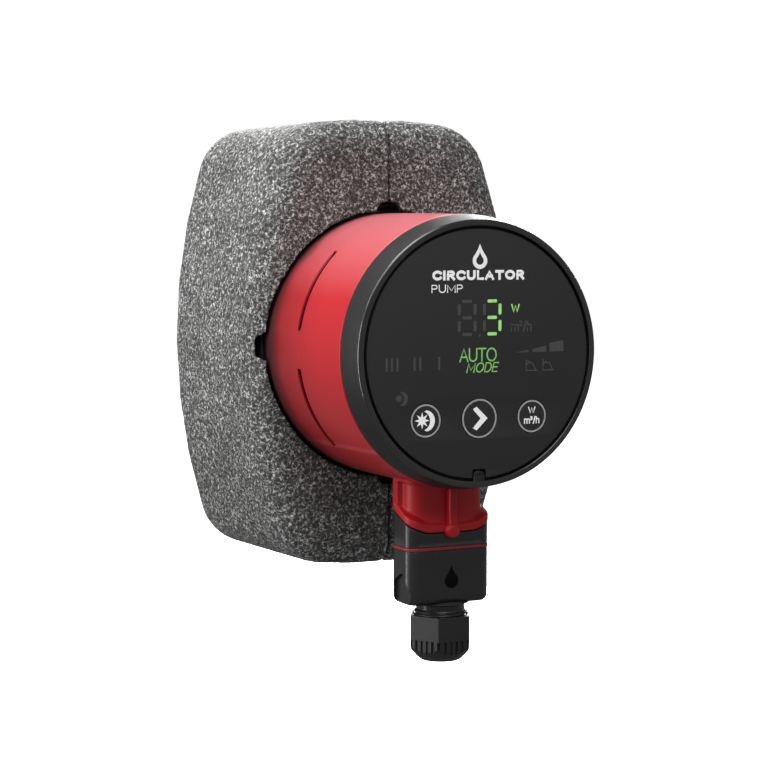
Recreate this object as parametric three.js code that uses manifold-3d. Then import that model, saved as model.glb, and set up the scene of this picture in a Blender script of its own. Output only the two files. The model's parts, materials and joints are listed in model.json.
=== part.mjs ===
// Wet-rotor circulator pump in two insulation shells, with its control head, mains plug and cable gland.
// Millimetres, +Z up. The origin is where the vertical pipe axis (Z) meets the shaft axis (Y).
// The control face looks along -Y, and the pump's back is towards +Y.
import * as THREE from 'three';
import { mergeVertices } from 'three/addons/utils/BufferGeometryUtils.js';
import Module from 'manifold-3d';

// ---------------------------------------------------------------- driving dimensions

const GAP = 0.3;                       // clearance between pieces that rest on each other
const SKIN_GAP = 0.05;                 // clearance between flat faces that are clamped together

// pipe ports: G 1 1/2 male threads, 130 mm from face to face
const PORT_FACE_Z = 65;
const PORT_BORE_R = 15;
const THREAD_CREST_R = 23.9;
const THREAD_ROOT_R = 22.4;
const THREAD_PITCH = 2.309;
const THREAD_TURNS = 7;

// drum and control ring
const FACE_Y = -104;
const RING_REAR_Y = -93.5;
const RING_FRONT_R = 46;
const RING_REAR_R = 47.9;
const LIP_INNER_R = 43.9;
const PLATE_R = 42.8;
const LEDGE_Y = -101.3;
const DRUM_REAR_R = 48.5;
const DRUM_REAR_Y = -27;
const POCKET_R = 45.5;
const POCKET_FLOOR_Y = -84;
const STATOR_BORE_R = 39.5;

// grip slots round the drum, as angles above and below the horizontal
const SLOT_Y = -59;
const SLOT_WIDTH = 3;
const SLOT_DEPTH = 1.6;
const SLOT_ARCS = [[8, 46.5], [-46, -7.6]];

// buttons: place on the face, and radius of the cap
const BUTTON_Z = -22.2;
const BUTTONS = { left: [-20.7, 5.7], centre: [0, 6.75], right: [20.7, 5.65] };
const BUTTON_CLEARANCE = 0.25;

// plug and the socket neck that it hangs in
const PLUG_Y = -75;
const PLUG_HALF_WIDTH = 16.5;
const PLUG_HALF_DEPTH = 8;
const PLUG_CORNER_R = 4.5;
const PLUG_BOTTOM_Z = -90.2;
const BAND_Z = [-70.7, -69.35];
const NECK_TOP_Z = -44;
const NECK_BOTTOM_Z = -64.2;
const LIP_HEIGHT = 3;
const SIDE_FLANGE_Y = -74.2;

// cable gland
const NUT_ACROSS_FLATS = 20.8;
const NUT_TOP_Z = -94.6;
const NUT_BOTTOM_Z = -111.1;
const CABLE_HOLE_R = 4.2;
const GLAND_PITCH = 1.5;

// insulation shells
const SHELL_FRONT_Y = -34;
const SHELL_REAR_Y = 38;
const SHELL_HALF_HEIGHT = 83.6;
const SHELL_HALF_WIDTH = { front: 54.9, rear: 60 };
const SHELL_SIDE_ARC_R = { front: 190, rear: 225 };
const SHELL_CROWN_ARC_R = 230;
const SHELL_CORNER_R = { front: 22, rear: 20 };
const SHELL_FRONT_ROUND = 10;
const SHELL_REAR_ROUND = 6;
const DRUM_HOLE_R = 49.6;
const NOTCH_HALF_WIDTH = { inner: 5, outer: 3.2 };
const NOTCH_OUTER_R = 52.5;
const NUT_SPACE_R = 30.5;
const PIPE_MOUTH_R = 25;

// hydraulics and rotor, all turning round the Y axis
const FLANGE_R = 48.5;
const SCREW_CIRCLE_R = 44;
const VOLUTE_R = 37.5;
const IMPELLER_R = 29;
const CAN_R = 26.5;
const STATOR_R = 38.9;

// sides of a round shape: large outer shapes, ordinary pieces, and small holes and pins
const FINE = 48;
const MEDIUM = 30;
const COARSE = 20;
const SMALL = 10;

// ---------------------------------------------------------------- materials

function finish(color, roughness, metalness) {
  return new THREE.MeshStandardMaterial({ color, roughness, metalness });
}

const materials = {
  castIron: finish(0x3d3f41, 0.75, 0.5),
  redPaint: finish(0xc1272f, 0.35, 0.0),
  blackPlastic: finish(0x2b2d2e, 0.5, 0.0),
  darkPlate: finish(0x2d2d2d, 0.35, 0.0),
  foam: finish(0x555453, 0.95, 0.0),
  rubber: finish(0x1c1c1c, 0.8, 0.0),
  redSeal: finish(0x84201f, 0.55, 0.0),
  steel: finish(0xb5b8ba, 0.3, 0.9),
  zincSteel: finish(0x9da0a3, 0.4, 0.9),
  copper: finish(0xb0673a, 0.4, 0.8),
  lamination: finish(0x70757a, 0.5, 0.8),
  magnet: finish(0x35363a, 0.5, 0.4),
  ceramic: finish(0xe8e4da, 0.4, 0.0),
  carbon: finish(0x242427, 0.5, 0.1),
  composite: finish(0xc9b48a, 0.55, 0.0),
  board: finish(0x1f5a35, 0.5, 0.0),
  diffuser: finish(0xd8dcd6, 0.5, 0.0),
  brass: finish(0xb8974a, 0.35, 0.9),
};

// ---------------------------------------------------------------- solid modelling helpers

const wasm = await Module();
wasm.setup();

// A closed geometry as a manifold solid, with its faces pointing outwards.
function solid(geometry) {
  const bare = geometry.clone();
  bare.deleteAttribute('normal');
  bare.deleteAttribute('uv');
  const merged = mergeVertices(bare, 1e-4);
  const points = merged.attributes.position.array;
  const corners = [];
  const index = merged.index.array;
  let volume = 0;
  for (let i = 0; i < index.length; i += 3) {
    const [a, b, c] = [index[i], index[i + 1], index[i + 2]];
    if (a === b || b === c || c === a) continue;
    corners.push(a, b, c);
    const [p, q, r] = [a, b, c].map((n) => new THREE.Vector3().fromArray(points, 3 * n));
    volume += p.dot(q.cross(r));
  }
  if (volume < 0) {
    for (let i = 0; i < corners.length; i += 3) [corners[i], corners[i + 1]] = [corners[i + 1], corners[i]];
  }
  const mesh = new wasm.Mesh({
    numProp: 3,
    vertProperties: new Float32Array(points),
    triVerts: new Uint32Array(corners),
  });
  return new wasm.Manifold(mesh);
}

function geometryOf(body) {
  const mesh = body.getMesh();
  const geometry = new THREE.BufferGeometry();
  geometry.setAttribute('position', new THREE.BufferAttribute(new Float32Array(mesh.vertProperties), 3));
  geometry.setIndex(new THREE.BufferAttribute(new Uint32Array(mesh.triVerts), 1));
  geometry.computeVertexNormals();
  return geometry;
}

// Turns a geometry that was made along +Y (a lathe) or along +Z (an extrusion) onto another axis.
const LATHE_TO = { y: () => {}, z: (g) => g.rotateX(Math.PI / 2), x: (g) => g.rotateZ(-Math.PI / 2) };
const EXTRUDE_TO = {
  z: () => {},
  y: (g) => g.rotateX(Math.PI / 2).scale(1, -1, 1),
  x: (g) => g.rotateX(Math.PI / 2).rotateZ(Math.PI / 2),
};

// A solid of revolution: profile points are [radius, height along the axis].
function turned(profile, segments = COARSE, axis = 'y') {
  const points = profile.map(([radius, height]) => new THREE.Vector2(radius, height));
  const geometry = new THREE.LatheGeometry(points, segments);
  LATHE_TO[axis](geometry);
  return solid(geometry);
}

function disc(radius, from, to, segments = COARSE, axis = 'y') {
  return turned([[0, from], [radius, from], [radius, to], [0, to]], segments, axis);
}

function tube(outer, inner, from, to, segments = COARSE, axis = 'y') {
  return turned([[inner, from], [outer, from], [outer, to], [inner, to], [inner, from]], segments, axis);
}

// An extruded outline. Along z the outline is (x, y), along y it is (x, z), along x it is (y, z).
function prism(shape, from, to, axis = 'z', curveSegments = 4) {
  const settings = { depth: to - from, bevelEnabled: false, curveSegments };
  const geometry = new THREE.ExtrudeGeometry(shape, settings);
  geometry.translate(0, 0, from);
  EXTRUDE_TO[axis](geometry);
  return solid(geometry);
}

function box(x, y, z) {
  const geometry = new THREE.BoxGeometry(x[1] - x[0], y[1] - y[0], z[1] - z[0]);
  geometry.translate((x[0] + x[1]) / 2, (y[0] + y[1]) / 2, (z[0] + z[1]) / 2);
  return solid(geometry);
}

function roundedRectangle(halfWidth, halfHeight, radius, centreX = 0, centreY = 0) {
  const shape = new THREE.Shape();
  const corners = [[1, -1, -90], [1, 1, 0], [-1, 1, 90], [-1, -1, 180]];
  for (const [sx, sy, start] of corners) {
    const x = centreX + sx * (halfWidth - radius);
    const y = centreY + sy * (halfHeight - radius);
    const a = THREE.MathUtils.degToRad(start);
    shape.absarc(x, y, radius, a, a + Math.PI / 2);
  }
  return shape;
}

function polygon(points) {
  return new THREE.Shape(points.map(([x, y]) => new THREE.Vector2(x, y)));
}

function polar(radius, degrees) {
  const a = THREE.MathUtils.degToRad(degrees);
  return [radius * Math.cos(a), radius * Math.sin(a)];
}

const pump = new THREE.Group();

function add(name, body, material) {
  const mesh = new THREE.Mesh(geometryOf(body), material);
  mesh.name = name;
  pump.add(mesh);
}

// ---------------------------------------------------------------- pump housing and hydraulics

// One threaded port along +Z, from inside the volute to the port face.
function threadedPort() {
  const start = PORT_FACE_Z - 1.2 - THREAD_TURNS * THREAD_PITCH;
  const profile = [[0, 20], [21, 20], [21, start - 1.5], [THREAD_ROOT_R, start]];
  for (let turn = 0; turn < THREAD_TURNS; turn += 1) {
    const z = start + turn * THREAD_PITCH;
    profile.push([THREAD_CREST_R, z + THREAD_PITCH * 0.5], [THREAD_ROOT_R, z + THREAD_PITCH]);
  }
  profile.push([THREAD_ROOT_R, PORT_FACE_Z - 0.4], [THREAD_ROOT_R - 0.4, PORT_FACE_Z], [0, PORT_FACE_Z]);
  return turned(profile, COARSE, 'z');
}

// A slanted water channel, as a round bar between two points in the YZ plane.
function channel(radius, fromYZ, toYZ) {
  const a = new THREE.Vector3(0, ...fromYZ);
  const b = new THREE.Vector3(0, ...toYZ);
  const geometry = new THREE.CylinderGeometry(radius, radius, a.distanceTo(b), 16);
  const up = new THREE.Vector3(0, 1, 0);
  geometry.applyQuaternion(new THREE.Quaternion().setFromUnitVectors(up, b.clone().sub(a).normalize()));
  const middle = a.add(b).multiplyScalar(0.5);
  geometry.translate(middle.x, middle.y, middle.z);
  return solid(geometry);
}

function pumpHousing() {
  const volute = turned([
    [0, -25], [FLANGE_R, -25], [FLANGE_R, -19], [VOLUTE_R, -19], [VOLUTE_R, 20],
    [VOLUTE_R - 5, 27], [20, 30], [0, 30],
  ], MEDIUM);
  const port = threadedPort();
  let body = volute.add(port).add(port.mirror([0, 0, 1]));
  const flats = box([-24, 24], [20, 30], [-10, 10]);
  body = body.add(flats);
  const cuts = [
    disc(33, -26, -6),
    disc(12, -7, 3),
    disc(17, 2, 24),
    disc(PORT_BORE_R, 38, PORT_FACE_Z + 1, COARSE, 'z'),
    disc(PORT_BORE_R, -PORT_FACE_Z - 1, -38, COARSE, 'z'),
    channel(11, [0, -46], [14, -8]),
    channel(10, [0, 46], [-13, 24]),
  ];
  for (let i = 0; i < 4; i += 1) {
    const [x, z] = polar(SCREW_CIRCLE_R, 45 + 90 * i);
    const hole = disc(2.9, -26, -18, SMALL).translate([x, 0, z]);
    cuts.push(hole);
  }
  for (const cut of cuts) body = body.subtract(cut);
  return body;
}

function impeller() {
  let body = tube(IMPELLER_R, 4.2, -20.5, -18.8);
  body = body.add(turned([[4.2, -19], [8, -19], [6.5, -11], [4.2, -10.2], [4.2, -19]]));
  for (let i = 0; i < 6; i += 1) {
    const curve = new THREE.QuadraticBezierCurve(
      new THREE.Vector2(10.5, 0), new THREE.Vector2(19, 1), new THREE.Vector2(...polar(28.4, 48)));
    const centreline = curve.getPoints(4);
    const half = 0.7;
    const left = [];
    const right = [];
    centreline.forEach((point, n) => {
      const along = curve.getTangent(n / 4);
      left.push([point.x - along.y * half, point.y + along.x * half]);
      right.unshift([point.x + along.y * half, point.y - along.x * half]);
    });
    const blade = prism(polygon(left.concat(right)), -19.2, -12.6, 'y').rotate([0, 60 * i, 0]);
    body = body.add(blade);
  }
  return body;
}

function addHydraulics() {
  add('pump_housing', pumpHousing(), materials.castIron);
  add('housing_gasket', tube(38.5, 36, -26.9, -25.1), materials.rubber);
  add('neck_ring', tube(11.6, 10.4, -6.4, 2.4), materials.steel);
  add('impeller', impeller(), materials.composite);
  const cover = [
    [IMPELLER_R, -12.2], [IMPELLER_R, -11], [13, -9.4], [10, -7], [10, -3], [8.8, -3], [8.8, -7.6],
    [12.3, -10.6], [IMPELLER_R, -12.2],
  ];
  add('impeller_cover', turned(cover), materials.composite);
}

// ---------------------------------------------------------------- wet rotor, can and stator

function addRotor() {
  const shaft = [[0, -76], [3.4, -76], [4, -75.4], [4, -10.4], [3.4, -9.8], [0, -9.8]];
  add('rotor_shaft', turned(shaft), materials.ceramic);
  add('rotor_magnet', tube(21.5, 4.2, -68, -38), materials.magnet);
  add('rotor_sleeve', tube(22.3, 21.7, -68.2, -37.8), materials.steel);
  add('thrust_ring', tube(8.5, 4.2, -36.8, -33.4), materials.carbon);
}

function addMotorInside() {
  const plate = [
    [9.4, -32.2], [11.4, -32.2], [11.4, -28.6], [24.6, -28.6], [24.6, -26.8], [34.5, -26.8], [34.5, -25.6],
    [23.4, -25.6], [23.4, -27.2], [9.4, -27.2], [9.4, -32.2],
  ];
  add('bearing_plate', turned(plate), materials.steel);
  add('front_bearing', tube(9.1, 4.3, -32.6, -24.5), materials.carbon);
  add('rear_bearing', tube(8.3, 4.3, -77.2, -70.6), materials.carbon);
  const can = [
    [0, -79.4], [9.4, -79.4], [9.4, -72.6], [CAN_R, -72.6], [CAN_R, -28.4], [35.6, -28.4], [35.6, -27.2],
    [25.6, -27.2], [25.6, -71.7], [8.6, -71.7], [8.6, -78.6], [0, -78.6],
  ];
  add('rotor_can', turned(can), materials.steel);
  add('can_seal', tube(39, 36.2, -29.8, -27.4), materials.rubber);
  add('stator_core', statorCore(), materials.lamination);
  add('stator_winding', statorWinding(), materials.copper);
}

// Six round slots for the coils run right through the ring of laminations.
function statorCore() {
  let core = tube(STATOR_R, CAN_R + 2 * GAP, -66, -40);
  for (let i = 0; i < 6; i += 1) {
    const [x, z] = polar(32.4, 60 * i);
    core = core.subtract(disc(3.6, -67, -39, SMALL).translate([x, 0, z]));
  }
  return core;
}

function statorWinding() {
  const head = [[28.4, 0], [36.6, 0], [36.6, 5], [34.4, 6.6], [30, 6.6], [28.4, 5], [28.4, 0]];
  const front = turned(head.map(([radius, y]) => [radius, -66.3 - y]));
  const rear = turned(head.map(([radius, y]) => [radius, -39.7 + y]));
  let winding = front.add(rear);
  for (let i = 0; i < 6; i += 1) {
    const [x, z] = polar(32.4, 60 * i);
    winding = winding.add(disc(3.2, -67, -39, SMALL).translate([x, 0, z]));
  }
  return winding;
}

// ---------------------------------------------------------------- red motor housing with the socket neck

// The shield's lower edge: a U seen from the front, rising towards the back seen from the side.
function shieldRegion(raise = 0, grow = 0) {
  const bottom = NECK_BOTTOM_Z + raise - grow;
  const half = PLUG_HALF_WIDTH + 0.1 + grow;
  const corner = 7;
  const front = new THREE.Shape();
  front.moveTo(half, NECK_TOP_Z + 6);
  front.lineTo(-half, NECK_TOP_Z + 6);
  front.lineTo(-half, bottom + corner);
  front.absarc(-half + corner, bottom + corner, corner, Math.PI, 1.5 * Math.PI);
  front.absarc(half - corner, bottom + corner, corner, 1.5 * Math.PI, 2 * Math.PI);
  const fromFront = prism(front, -90, -60, 'y', 4);
  const top = NECK_TOP_Z + 7;
  const side = polygon([
    [-90, top], [-90, bottom - 1], [-81.4 + grow, bottom - 1], [-81.4 + grow, bottom + 2.6],
    [-60, bottom + 11.6], [-60, top],
  ]);
  return fromFront.intersect(prism(side, -30, 30, 'x'));
}

function plugSection(halfWidth, halfDepth, radius, from, to) {
  return prism(roundedRectangle(halfWidth, halfDepth, radius, 0, PLUG_Y), from, to, 'z', 3);
}

function socketNeck() {
  const bottom = NECK_BOTTOM_Z - 3;
  const core = plugSection(PLUG_HALF_WIDTH - 1.8, PLUG_HALF_DEPTH - 0.9, 6, bottom, NECK_TOP_Z);
  const outer = plugSection(PLUG_HALF_WIDTH, PLUG_HALF_DEPTH + 0.2, PLUG_CORNER_R, bottom, NECK_TOP_Z);
  const region = shieldRegion();
  const lip = outer.intersect(region).subtract(shieldRegion(LIP_HEIGHT));
  const flange = outer.intersect(region).intersect(box([-20, 20], [SIDE_FLANGE_Y, -60], [-80, -40]));
  let neck = core.intersect(region).add(lip).add(flange);
  neck = neck.subtract(plugSection(13.2, 5.3, 2, -80, -50.5));
  const rib = box([-1.5, 1.5], [-85.1, -81], [-63.6, NECK_TOP_Z]);
  const knob = disc(2.75, -85.8, -82.6, 16).translate([0, 0, -63.6]);
  return neck.add(rib).add(knob);
}

function gripSlot(fromDegrees, toDegrees) {
  const outline = [];
  const steps = 6;
  for (let i = 0; i <= steps; i += 1) {
    outline.push(polar(DRUM_REAR_R + 2, fromDegrees + ((toDegrees - fromDegrees) * i) / steps));
  }
  for (let i = steps; i >= 0; i -= 1) {
    outline.push(polar(DRUM_REAR_R - SLOT_DEPTH, fromDegrees + ((toDegrees - fromDegrees) * i) / steps));
  }
  return prism(polygon(outline), SLOT_Y - SLOT_WIDTH / 2, SLOT_Y + SLOT_WIDTH / 2, 'y');
}

function motorHousing() {
  const front = RING_REAR_Y + GAP;
  let body = turned([
    [POCKET_R, front], [RING_REAR_R - 0.4, front], [RING_REAR_R, front + 0.4], [DRUM_REAR_R - 0.1, -60],
    [DRUM_REAR_R, DRUM_REAR_Y], [STATOR_BORE_R, DRUM_REAR_Y], [STATOR_BORE_R, -81], [14, -81],
    [14, POCKET_FLOOR_Y], [POCKET_R, POCKET_FLOOR_Y], [POCKET_R, front],
  ], FINE);
  body = body.add(socketNeck().subtract(disc(POCKET_R - 0.5, -100, -60, FINE)));
  for (const [from, to] of SLOT_ARCS) {
    body = body.subtract(gripSlot(from, to)).subtract(gripSlot(180 - to, 180 - from));
  }
  for (let i = 0; i < 4; i += 1) {
    const [x, z] = polar(SCREW_CIRCLE_R, 45 + 90 * i);
    body = body.subtract(disc(2.8, -42, -26, SMALL).translate([x, 0, z]));
  }
  return body;
}

function socketScrew() {
  const head = disc(4.25, -18.7, -13.9, 16);
  const shank = disc(2.5, -40, -18.6, SMALL);
  const socket = [];
  for (let i = 0; i < 6; i += 1) socket.push(polar(2.31, 60 * i));
  return head.add(shank).subtract(prism(polygon(socket), -16.6, -13, 'y'));
}

function addMotorHousing() {
  add('motor_housing', motorHousing(), materials.redPaint);
  for (let i = 0; i < 4; i += 1) {
    const [x, z] = polar(SCREW_CIRCLE_R, 45 + 90 * i);
    add(`motor_screw_${i + 1}`, socketScrew().translate([x, 0, z]), materials.zincSteel);
  }
}

// ---------------------------------------------------------------- control head

function controlRing() {
  let ring = turned([
    [LIP_INNER_R, FACE_Y + 0.4], [LIP_INNER_R + 0.4, FACE_Y], [RING_FRONT_R - 0.5, FACE_Y],
    [RING_FRONT_R, FACE_Y + 0.5], [RING_REAR_R, RING_REAR_Y], [45.1, RING_REAR_Y], [45.1, -90.5],
    [43.8, -90.5], [43.8, -99.3], [41.2, -99.3], [41.2, LEDGE_Y], [LIP_INNER_R, LEDGE_Y],
    [LIP_INNER_R, FACE_Y + 0.4],
  ], FINE);
  const tab = prism(roundedRectangle(2.15, 2.4, 2.1, 0, -42.6), FACE_Y + 0.3, LEDGE_Y + 0.6, 'y');
  return ring.add(tab);
}

function facePlate() {
  const front = FACE_Y + 0.2;
  let plate = turned([
    [0, front], [PLATE_R - 0.3, front], [PLATE_R, front + 0.3], [PLATE_R, -101.6], [0, -101.6],
  ], FINE);
  plate = plate.subtract(prism(roundedRectangle(2.75, 4, 2.7, 0, -43.6), -105, -101, 'y'));
  for (const [x, radius] of Object.values(BUTTONS)) {
    plate = plate.subtract(disc(radius + BUTTON_CLEARANCE, -105, -101).translate([x, 0, BUTTON_Z]));
  }
  return plate;
}

function buttonCap(radius) {
  const front = FACE_Y + 0.2;
  return turned([
    [0, front], [radius - 0.25, front], [radius, front + 0.25], [radius, -101.4], [radius + 0.7, -101.4],
    [radius + 0.7, -100.6], [2, -100.6], [2, -98.9], [0, -98.9],
  ]);
}

function lightGuide() {
  const outline = polygon([
    [-36.5, -7], [35.5, -7], [35.5, 5], [22, 5], [22, 20.5], [-12, 20.5], [-12, 2], [-36.5, 2],
  ]);
  let guide = prism(outline, -101.3, -98.2, 'y');
  guide = guide.subtract(box([-9.6, 10], [-102, -97], [5, 20]));
  for (const [x, z] of [[-34, -4], [33, -4], [-11, 18], [20, 18]]) {
    guide = guide.add(disc(1.2, -98.4, -95.5, SMALL).translate([x, 0, z]));
  }
  return guide;
}

function tactSwitch(x) {
  const body = box([x - 3, x + 3], [-96.9, -95.25], [BUTTON_Z - 3, BUTTON_Z + 3]);
  return body.add(disc(1.7, -97.8, -96.8, SMALL).translate([x, 0, BUTTON_Z]));
}

function controlTray() {
  let tray = turned([
    [10, -84.3], [44.8, -84.3], [44.8, -86.3], [43.2, -86.3], [43.2, -98.8], [41, -98.8], [41, -86.3],
    [10, -86.3], [10, -84.3],
  ], MEDIUM);
  for (const degrees of [60, 180, 300]) {
    const [x, z] = polar(36, degrees);
    tray = tray.add(disc(2, -93.45, -86, SMALL).translate([x, 0, z]));
  }
  return tray;
}

function addControlHead() {
  add('control_ring', controlRing(), materials.blackPlastic);
  add('face_plate', facePlate(), materials.darkPlate);
  for (const [side, [x, radius]] of Object.entries(BUTTONS)) {
    add(`button_${side}`, buttonCap(radius).translate([x, 0, BUTTON_Z]), materials.darkPlate);
    add(`switch_${side}`, tactSwitch(x), materials.blackPlastic);
  }
  add('light_guide', lightGuide(), materials.diffuser);
  add('digit_display', box([-9.2, 9.6], [-101.2, -95.3], [5.4, 19.6]), materials.blackPlastic);
  add('circuit_board', disc(39.5, -95.2, -93.6, MEDIUM).subtract(disc(4, -96, -93, SMALL)), materials.board);
  add('control_tray', controlTray(), materials.blackPlastic);
  const can = disc(3.1, -8, 8, 16, 'z');
  add('capacitor_1', can.translate([-20, -90.1, 8]), materials.carbon);
  add('capacitor_2', can.translate([-12.6, -90.1, 8]), materials.carbon);
  add('mains_choke', tube(8, 4, -93.3, -87).translate([16, 0, 12]), materials.copper);
}

// ---------------------------------------------------------------- socket insert, plug and cable gland

function addSocket() {
  const insert = plugSection(12.9, 5, 1.8, -54, -50.9);
  let holder = insert;
  for (let i = -1; i <= 1; i += 1) {
    const slot = box([6.8 * i - 1.5, 6.8 * i + 1.5], [PLUG_Y - 0.8, PLUG_Y + 0.8], [-56, -50]);
    holder = holder.subtract(slot);
    const pin = box([6.8 * i - 1.2, 6.8 * i + 1.2], [PLUG_Y - 0.5, PLUG_Y + 0.5], [-63, -51.2]);
    add(`contact_pin_${i + 2}`, pin, materials.brass);
  }
  add('socket_insert', holder, materials.blackPlastic);
}

function plugCover() {
  let cover = plugSection(PLUG_HALF_WIDTH, PLUG_HALF_DEPTH, PLUG_CORNER_R, BAND_Z[1] + SKIN_GAP, -50);
  cover = cover.subtract(shieldRegion(0, 0.4));
  cover = cover.subtract(disc(3.15, -90, -80, 16).translate([0, 0, -63.6]));
  cover = cover.subtract(plugSection(14.6, 6.4, 3, -71, -45));
  return cover;
}

// The lower half of the plug: edges rounded below, pry slots at the sides, and the threaded gland spigot.
function plugBody() {
  const top = BAND_Z[0] - SKIN_GAP;
  const steps = 3;
  const roundR = 2.6;
  let body = plugSection(PLUG_HALF_WIDTH, PLUG_HALF_DEPTH, PLUG_CORNER_R, PLUG_BOTTOM_Z + roundR, top);
  for (let i = 0; i < steps; i += 1) {
    const a = (Math.PI / 2) * ((i + 0.5) / steps);
    const b = (Math.PI / 2) * ((i + 1) / steps);
    const inset = roundR * (1 - Math.cos(a));
    const from = PLUG_BOTTOM_Z + roundR * (1 - Math.sin(b));
    const slice = plugSection(
      PLUG_HALF_WIDTH - inset, PLUG_HALF_DEPTH - inset, PLUG_CORNER_R - inset, from,
      PLUG_BOTTOM_Z + roundR + 0.1);
    body = body.add(slice);
  }
  body = body.add(disc(8.6, -93.6, -89, COARSE, 'z').translate([0, PLUG_Y, 0]));
  body = body.add(spigotThread().translate([0, PLUG_Y, 0]));
  body = body.subtract(plugSection(14.6, 6.4, 3, -86, -60));
  body = body.subtract(disc(6.6, -106, -80, COARSE, 'z').translate([0, PLUG_Y, 0]));
  for (const side of [-1, 1]) {
    const wedge = polygon([[-78.4, -79], [-76, -79], [-71, -82], [-71, -92], [-81.8, -92], [-82, -87.2]]);
    body = body.subtract(prism(wedge, side > 0 ? 15.5 : -18, side > 0 ? 18 : -15.5, 'x'));
  }
  return body;
}

function spigotThread() {
  const profile = [[6.6, -104.6], [8.8, -104.6]];
  for (let turn = 0; turn < 7; turn += 1) {
    const z = -103.9 + turn * GLAND_PITCH;
    profile.push([8.8, z], [9.55, z + GLAND_PITCH / 2]);
  }
  profile.push([8.8, -93], [6.6, -93], [6.6, -104.6]);
  return turned(profile, COARSE, 'z');
}

function glandNut() {
  const hexagon = [];
  for (let i = 0; i < 6; i += 1) hexagon.push(polar(NUT_ACROSS_FLATS / Math.sqrt(3), 60 * i));
  let nut = prism(polygon(hexagon), NUT_BOTTOM_Z, NUT_TOP_Z);
  const envelope = turned([
    [0, NUT_BOTTOM_Z], [6, NUT_BOTTOM_Z], [7.6, NUT_BOTTOM_Z + 0.6], [12.1, NUT_BOTTOM_Z + 5.2],
    [12.1, NUT_TOP_Z - 0.5], [11.4, NUT_TOP_Z], [0, NUT_TOP_Z],
  ], COARSE, 'z');
  nut = nut.intersect(envelope);
  const bore = turned([
    [0, -113], [CABLE_HOLE_R, -113], [CABLE_HOLE_R, -109.4], [8.4, -108.6], [9.9, -107.2], [9.9, -90], [0, -90],
  ], COARSE, 'z');
  return nut.subtract(bore);
}

function addPlug() {
  add('plug_cover', plugCover(), materials.blackPlastic);
  const band = plugSection(PLUG_HALF_WIDTH + 0.15, PLUG_HALF_DEPTH + 0.15, PLUG_CORNER_R, ...BAND_Z);
  add('plug_seal', band.subtract(plugSection(14.6, 6.4, 3, -80, -60)), materials.redSeal);
  add('plug_body', plugBody(), materials.blackPlastic);
  let block = plugSection(12.6, 4.9, 1.5, -78, -54.4);
  for (let i = -1; i <= 1; i += 1) {
    const x = 6.8 * i;
    block = block.subtract(box([x - 2.6, x + 2.6], [PLUG_Y - 2.8, PLUG_Y + 2.8], [-80, -66]));
    block = block.subtract(box([x - 1.6, x + 1.6], [PLUG_Y - 1, PLUG_Y + 1], [-67, -50]));
    const clamp = box([x - 2.2, x + 2.2], [PLUG_Y - 2.4, PLUG_Y + 2.4], [-77, -66.4]);
    const wireHole = disc(1.3, -78, -70, SMALL, 'z').translate([x, PLUG_Y, 0]);
    add(`wire_clamp_${i + 2}`, clamp.subtract(wireHole), materials.brass);
  }
  add('plug_insert', block, materials.blackPlastic);
  const seal = tube(6.3, CABLE_HOLE_R, -104.3, -96, COARSE, 'z').translate([0, PLUG_Y, 0]);
  add('gland_seal', seal, materials.rubber);
  const ring = tube(8.2, CABLE_HOLE_R + 0.4, -108.2, -106.4, COARSE, 'z').translate([0, PLUG_Y, 0]);
  add('gland_ring', ring, materials.blackPlastic);
  add('gland_nut', glandNut().translate([0, PLUG_Y, 0]), materials.blackPlastic);
}

// ---------------------------------------------------------------- insulation shells

function arcPoints(centre, radius, fromAngle, toAngle, steps) {
  const points = [];
  for (let i = 0; i < steps; i += 1) {
    const a = fromAngle + ((toAngle - fromAngle) * i) / steps;
    points.push([centre[0] + radius * Math.cos(a), centre[1] + radius * Math.sin(a)]);
  }
  return points;
}

// The shell's outline at one depth: barrel sides, round corners and crowned ends, moved inwards by inset.
// Share is 0 at the shell's front face and 1 at its rear face.
function shellOutline(share, inset) {
  const [halfWidth, sideR, cornerR] = [SHELL_HALF_WIDTH, SHELL_SIDE_ARC_R, SHELL_CORNER_R].map(
    (value) => THREE.MathUtils.lerp(value.front, value.rear, share));
  const sideCentre = halfWidth - sideR;
  const crownCentre = SHELL_HALF_HEIGHT - SHELL_CROWN_ARC_R;
  const toSide = sideR - cornerR;
  const toCrown = SHELL_CROWN_ARC_R - cornerR;
  const span = Math.hypot(sideCentre, crownCentre);
  const along = (toSide ** 2 - toCrown ** 2 + span ** 2) / (2 * span);
  const across = Math.sqrt(toSide ** 2 - along ** 2);
  const unit = [-sideCentre / span, crownCentre / span];
  const corner = [sideCentre + along * unit[0] - across * unit[1], along * unit[1] + across * unit[0]];
  const sideAngle = Math.atan2(corner[1], corner[0] - sideCentre);
  const crownAngle = Math.atan2(corner[1] - crownCentre, corner[0]);
  const quarter = [
    ...arcPoints([sideCentre, 0], sideR - inset, 0, sideAngle, 3),
    ...arcPoints(corner, cornerR - inset, sideAngle, crownAngle, 5),
    ...arcPoints([0, crownCentre], SHELL_CROWN_ARC_R - inset, crownAngle, Math.PI / 2, 2),
    [0, SHELL_HALF_HEIGHT - inset],
  ];
  const upper = [...quarter, ...quarter.slice(0, -1).reverse().map(([x, z]) => [-x, z])];
  const lower = upper.slice(1, -1).reverse().map(([x, z]) => [x, -z]);
  return [...upper, ...lower];
}

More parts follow.
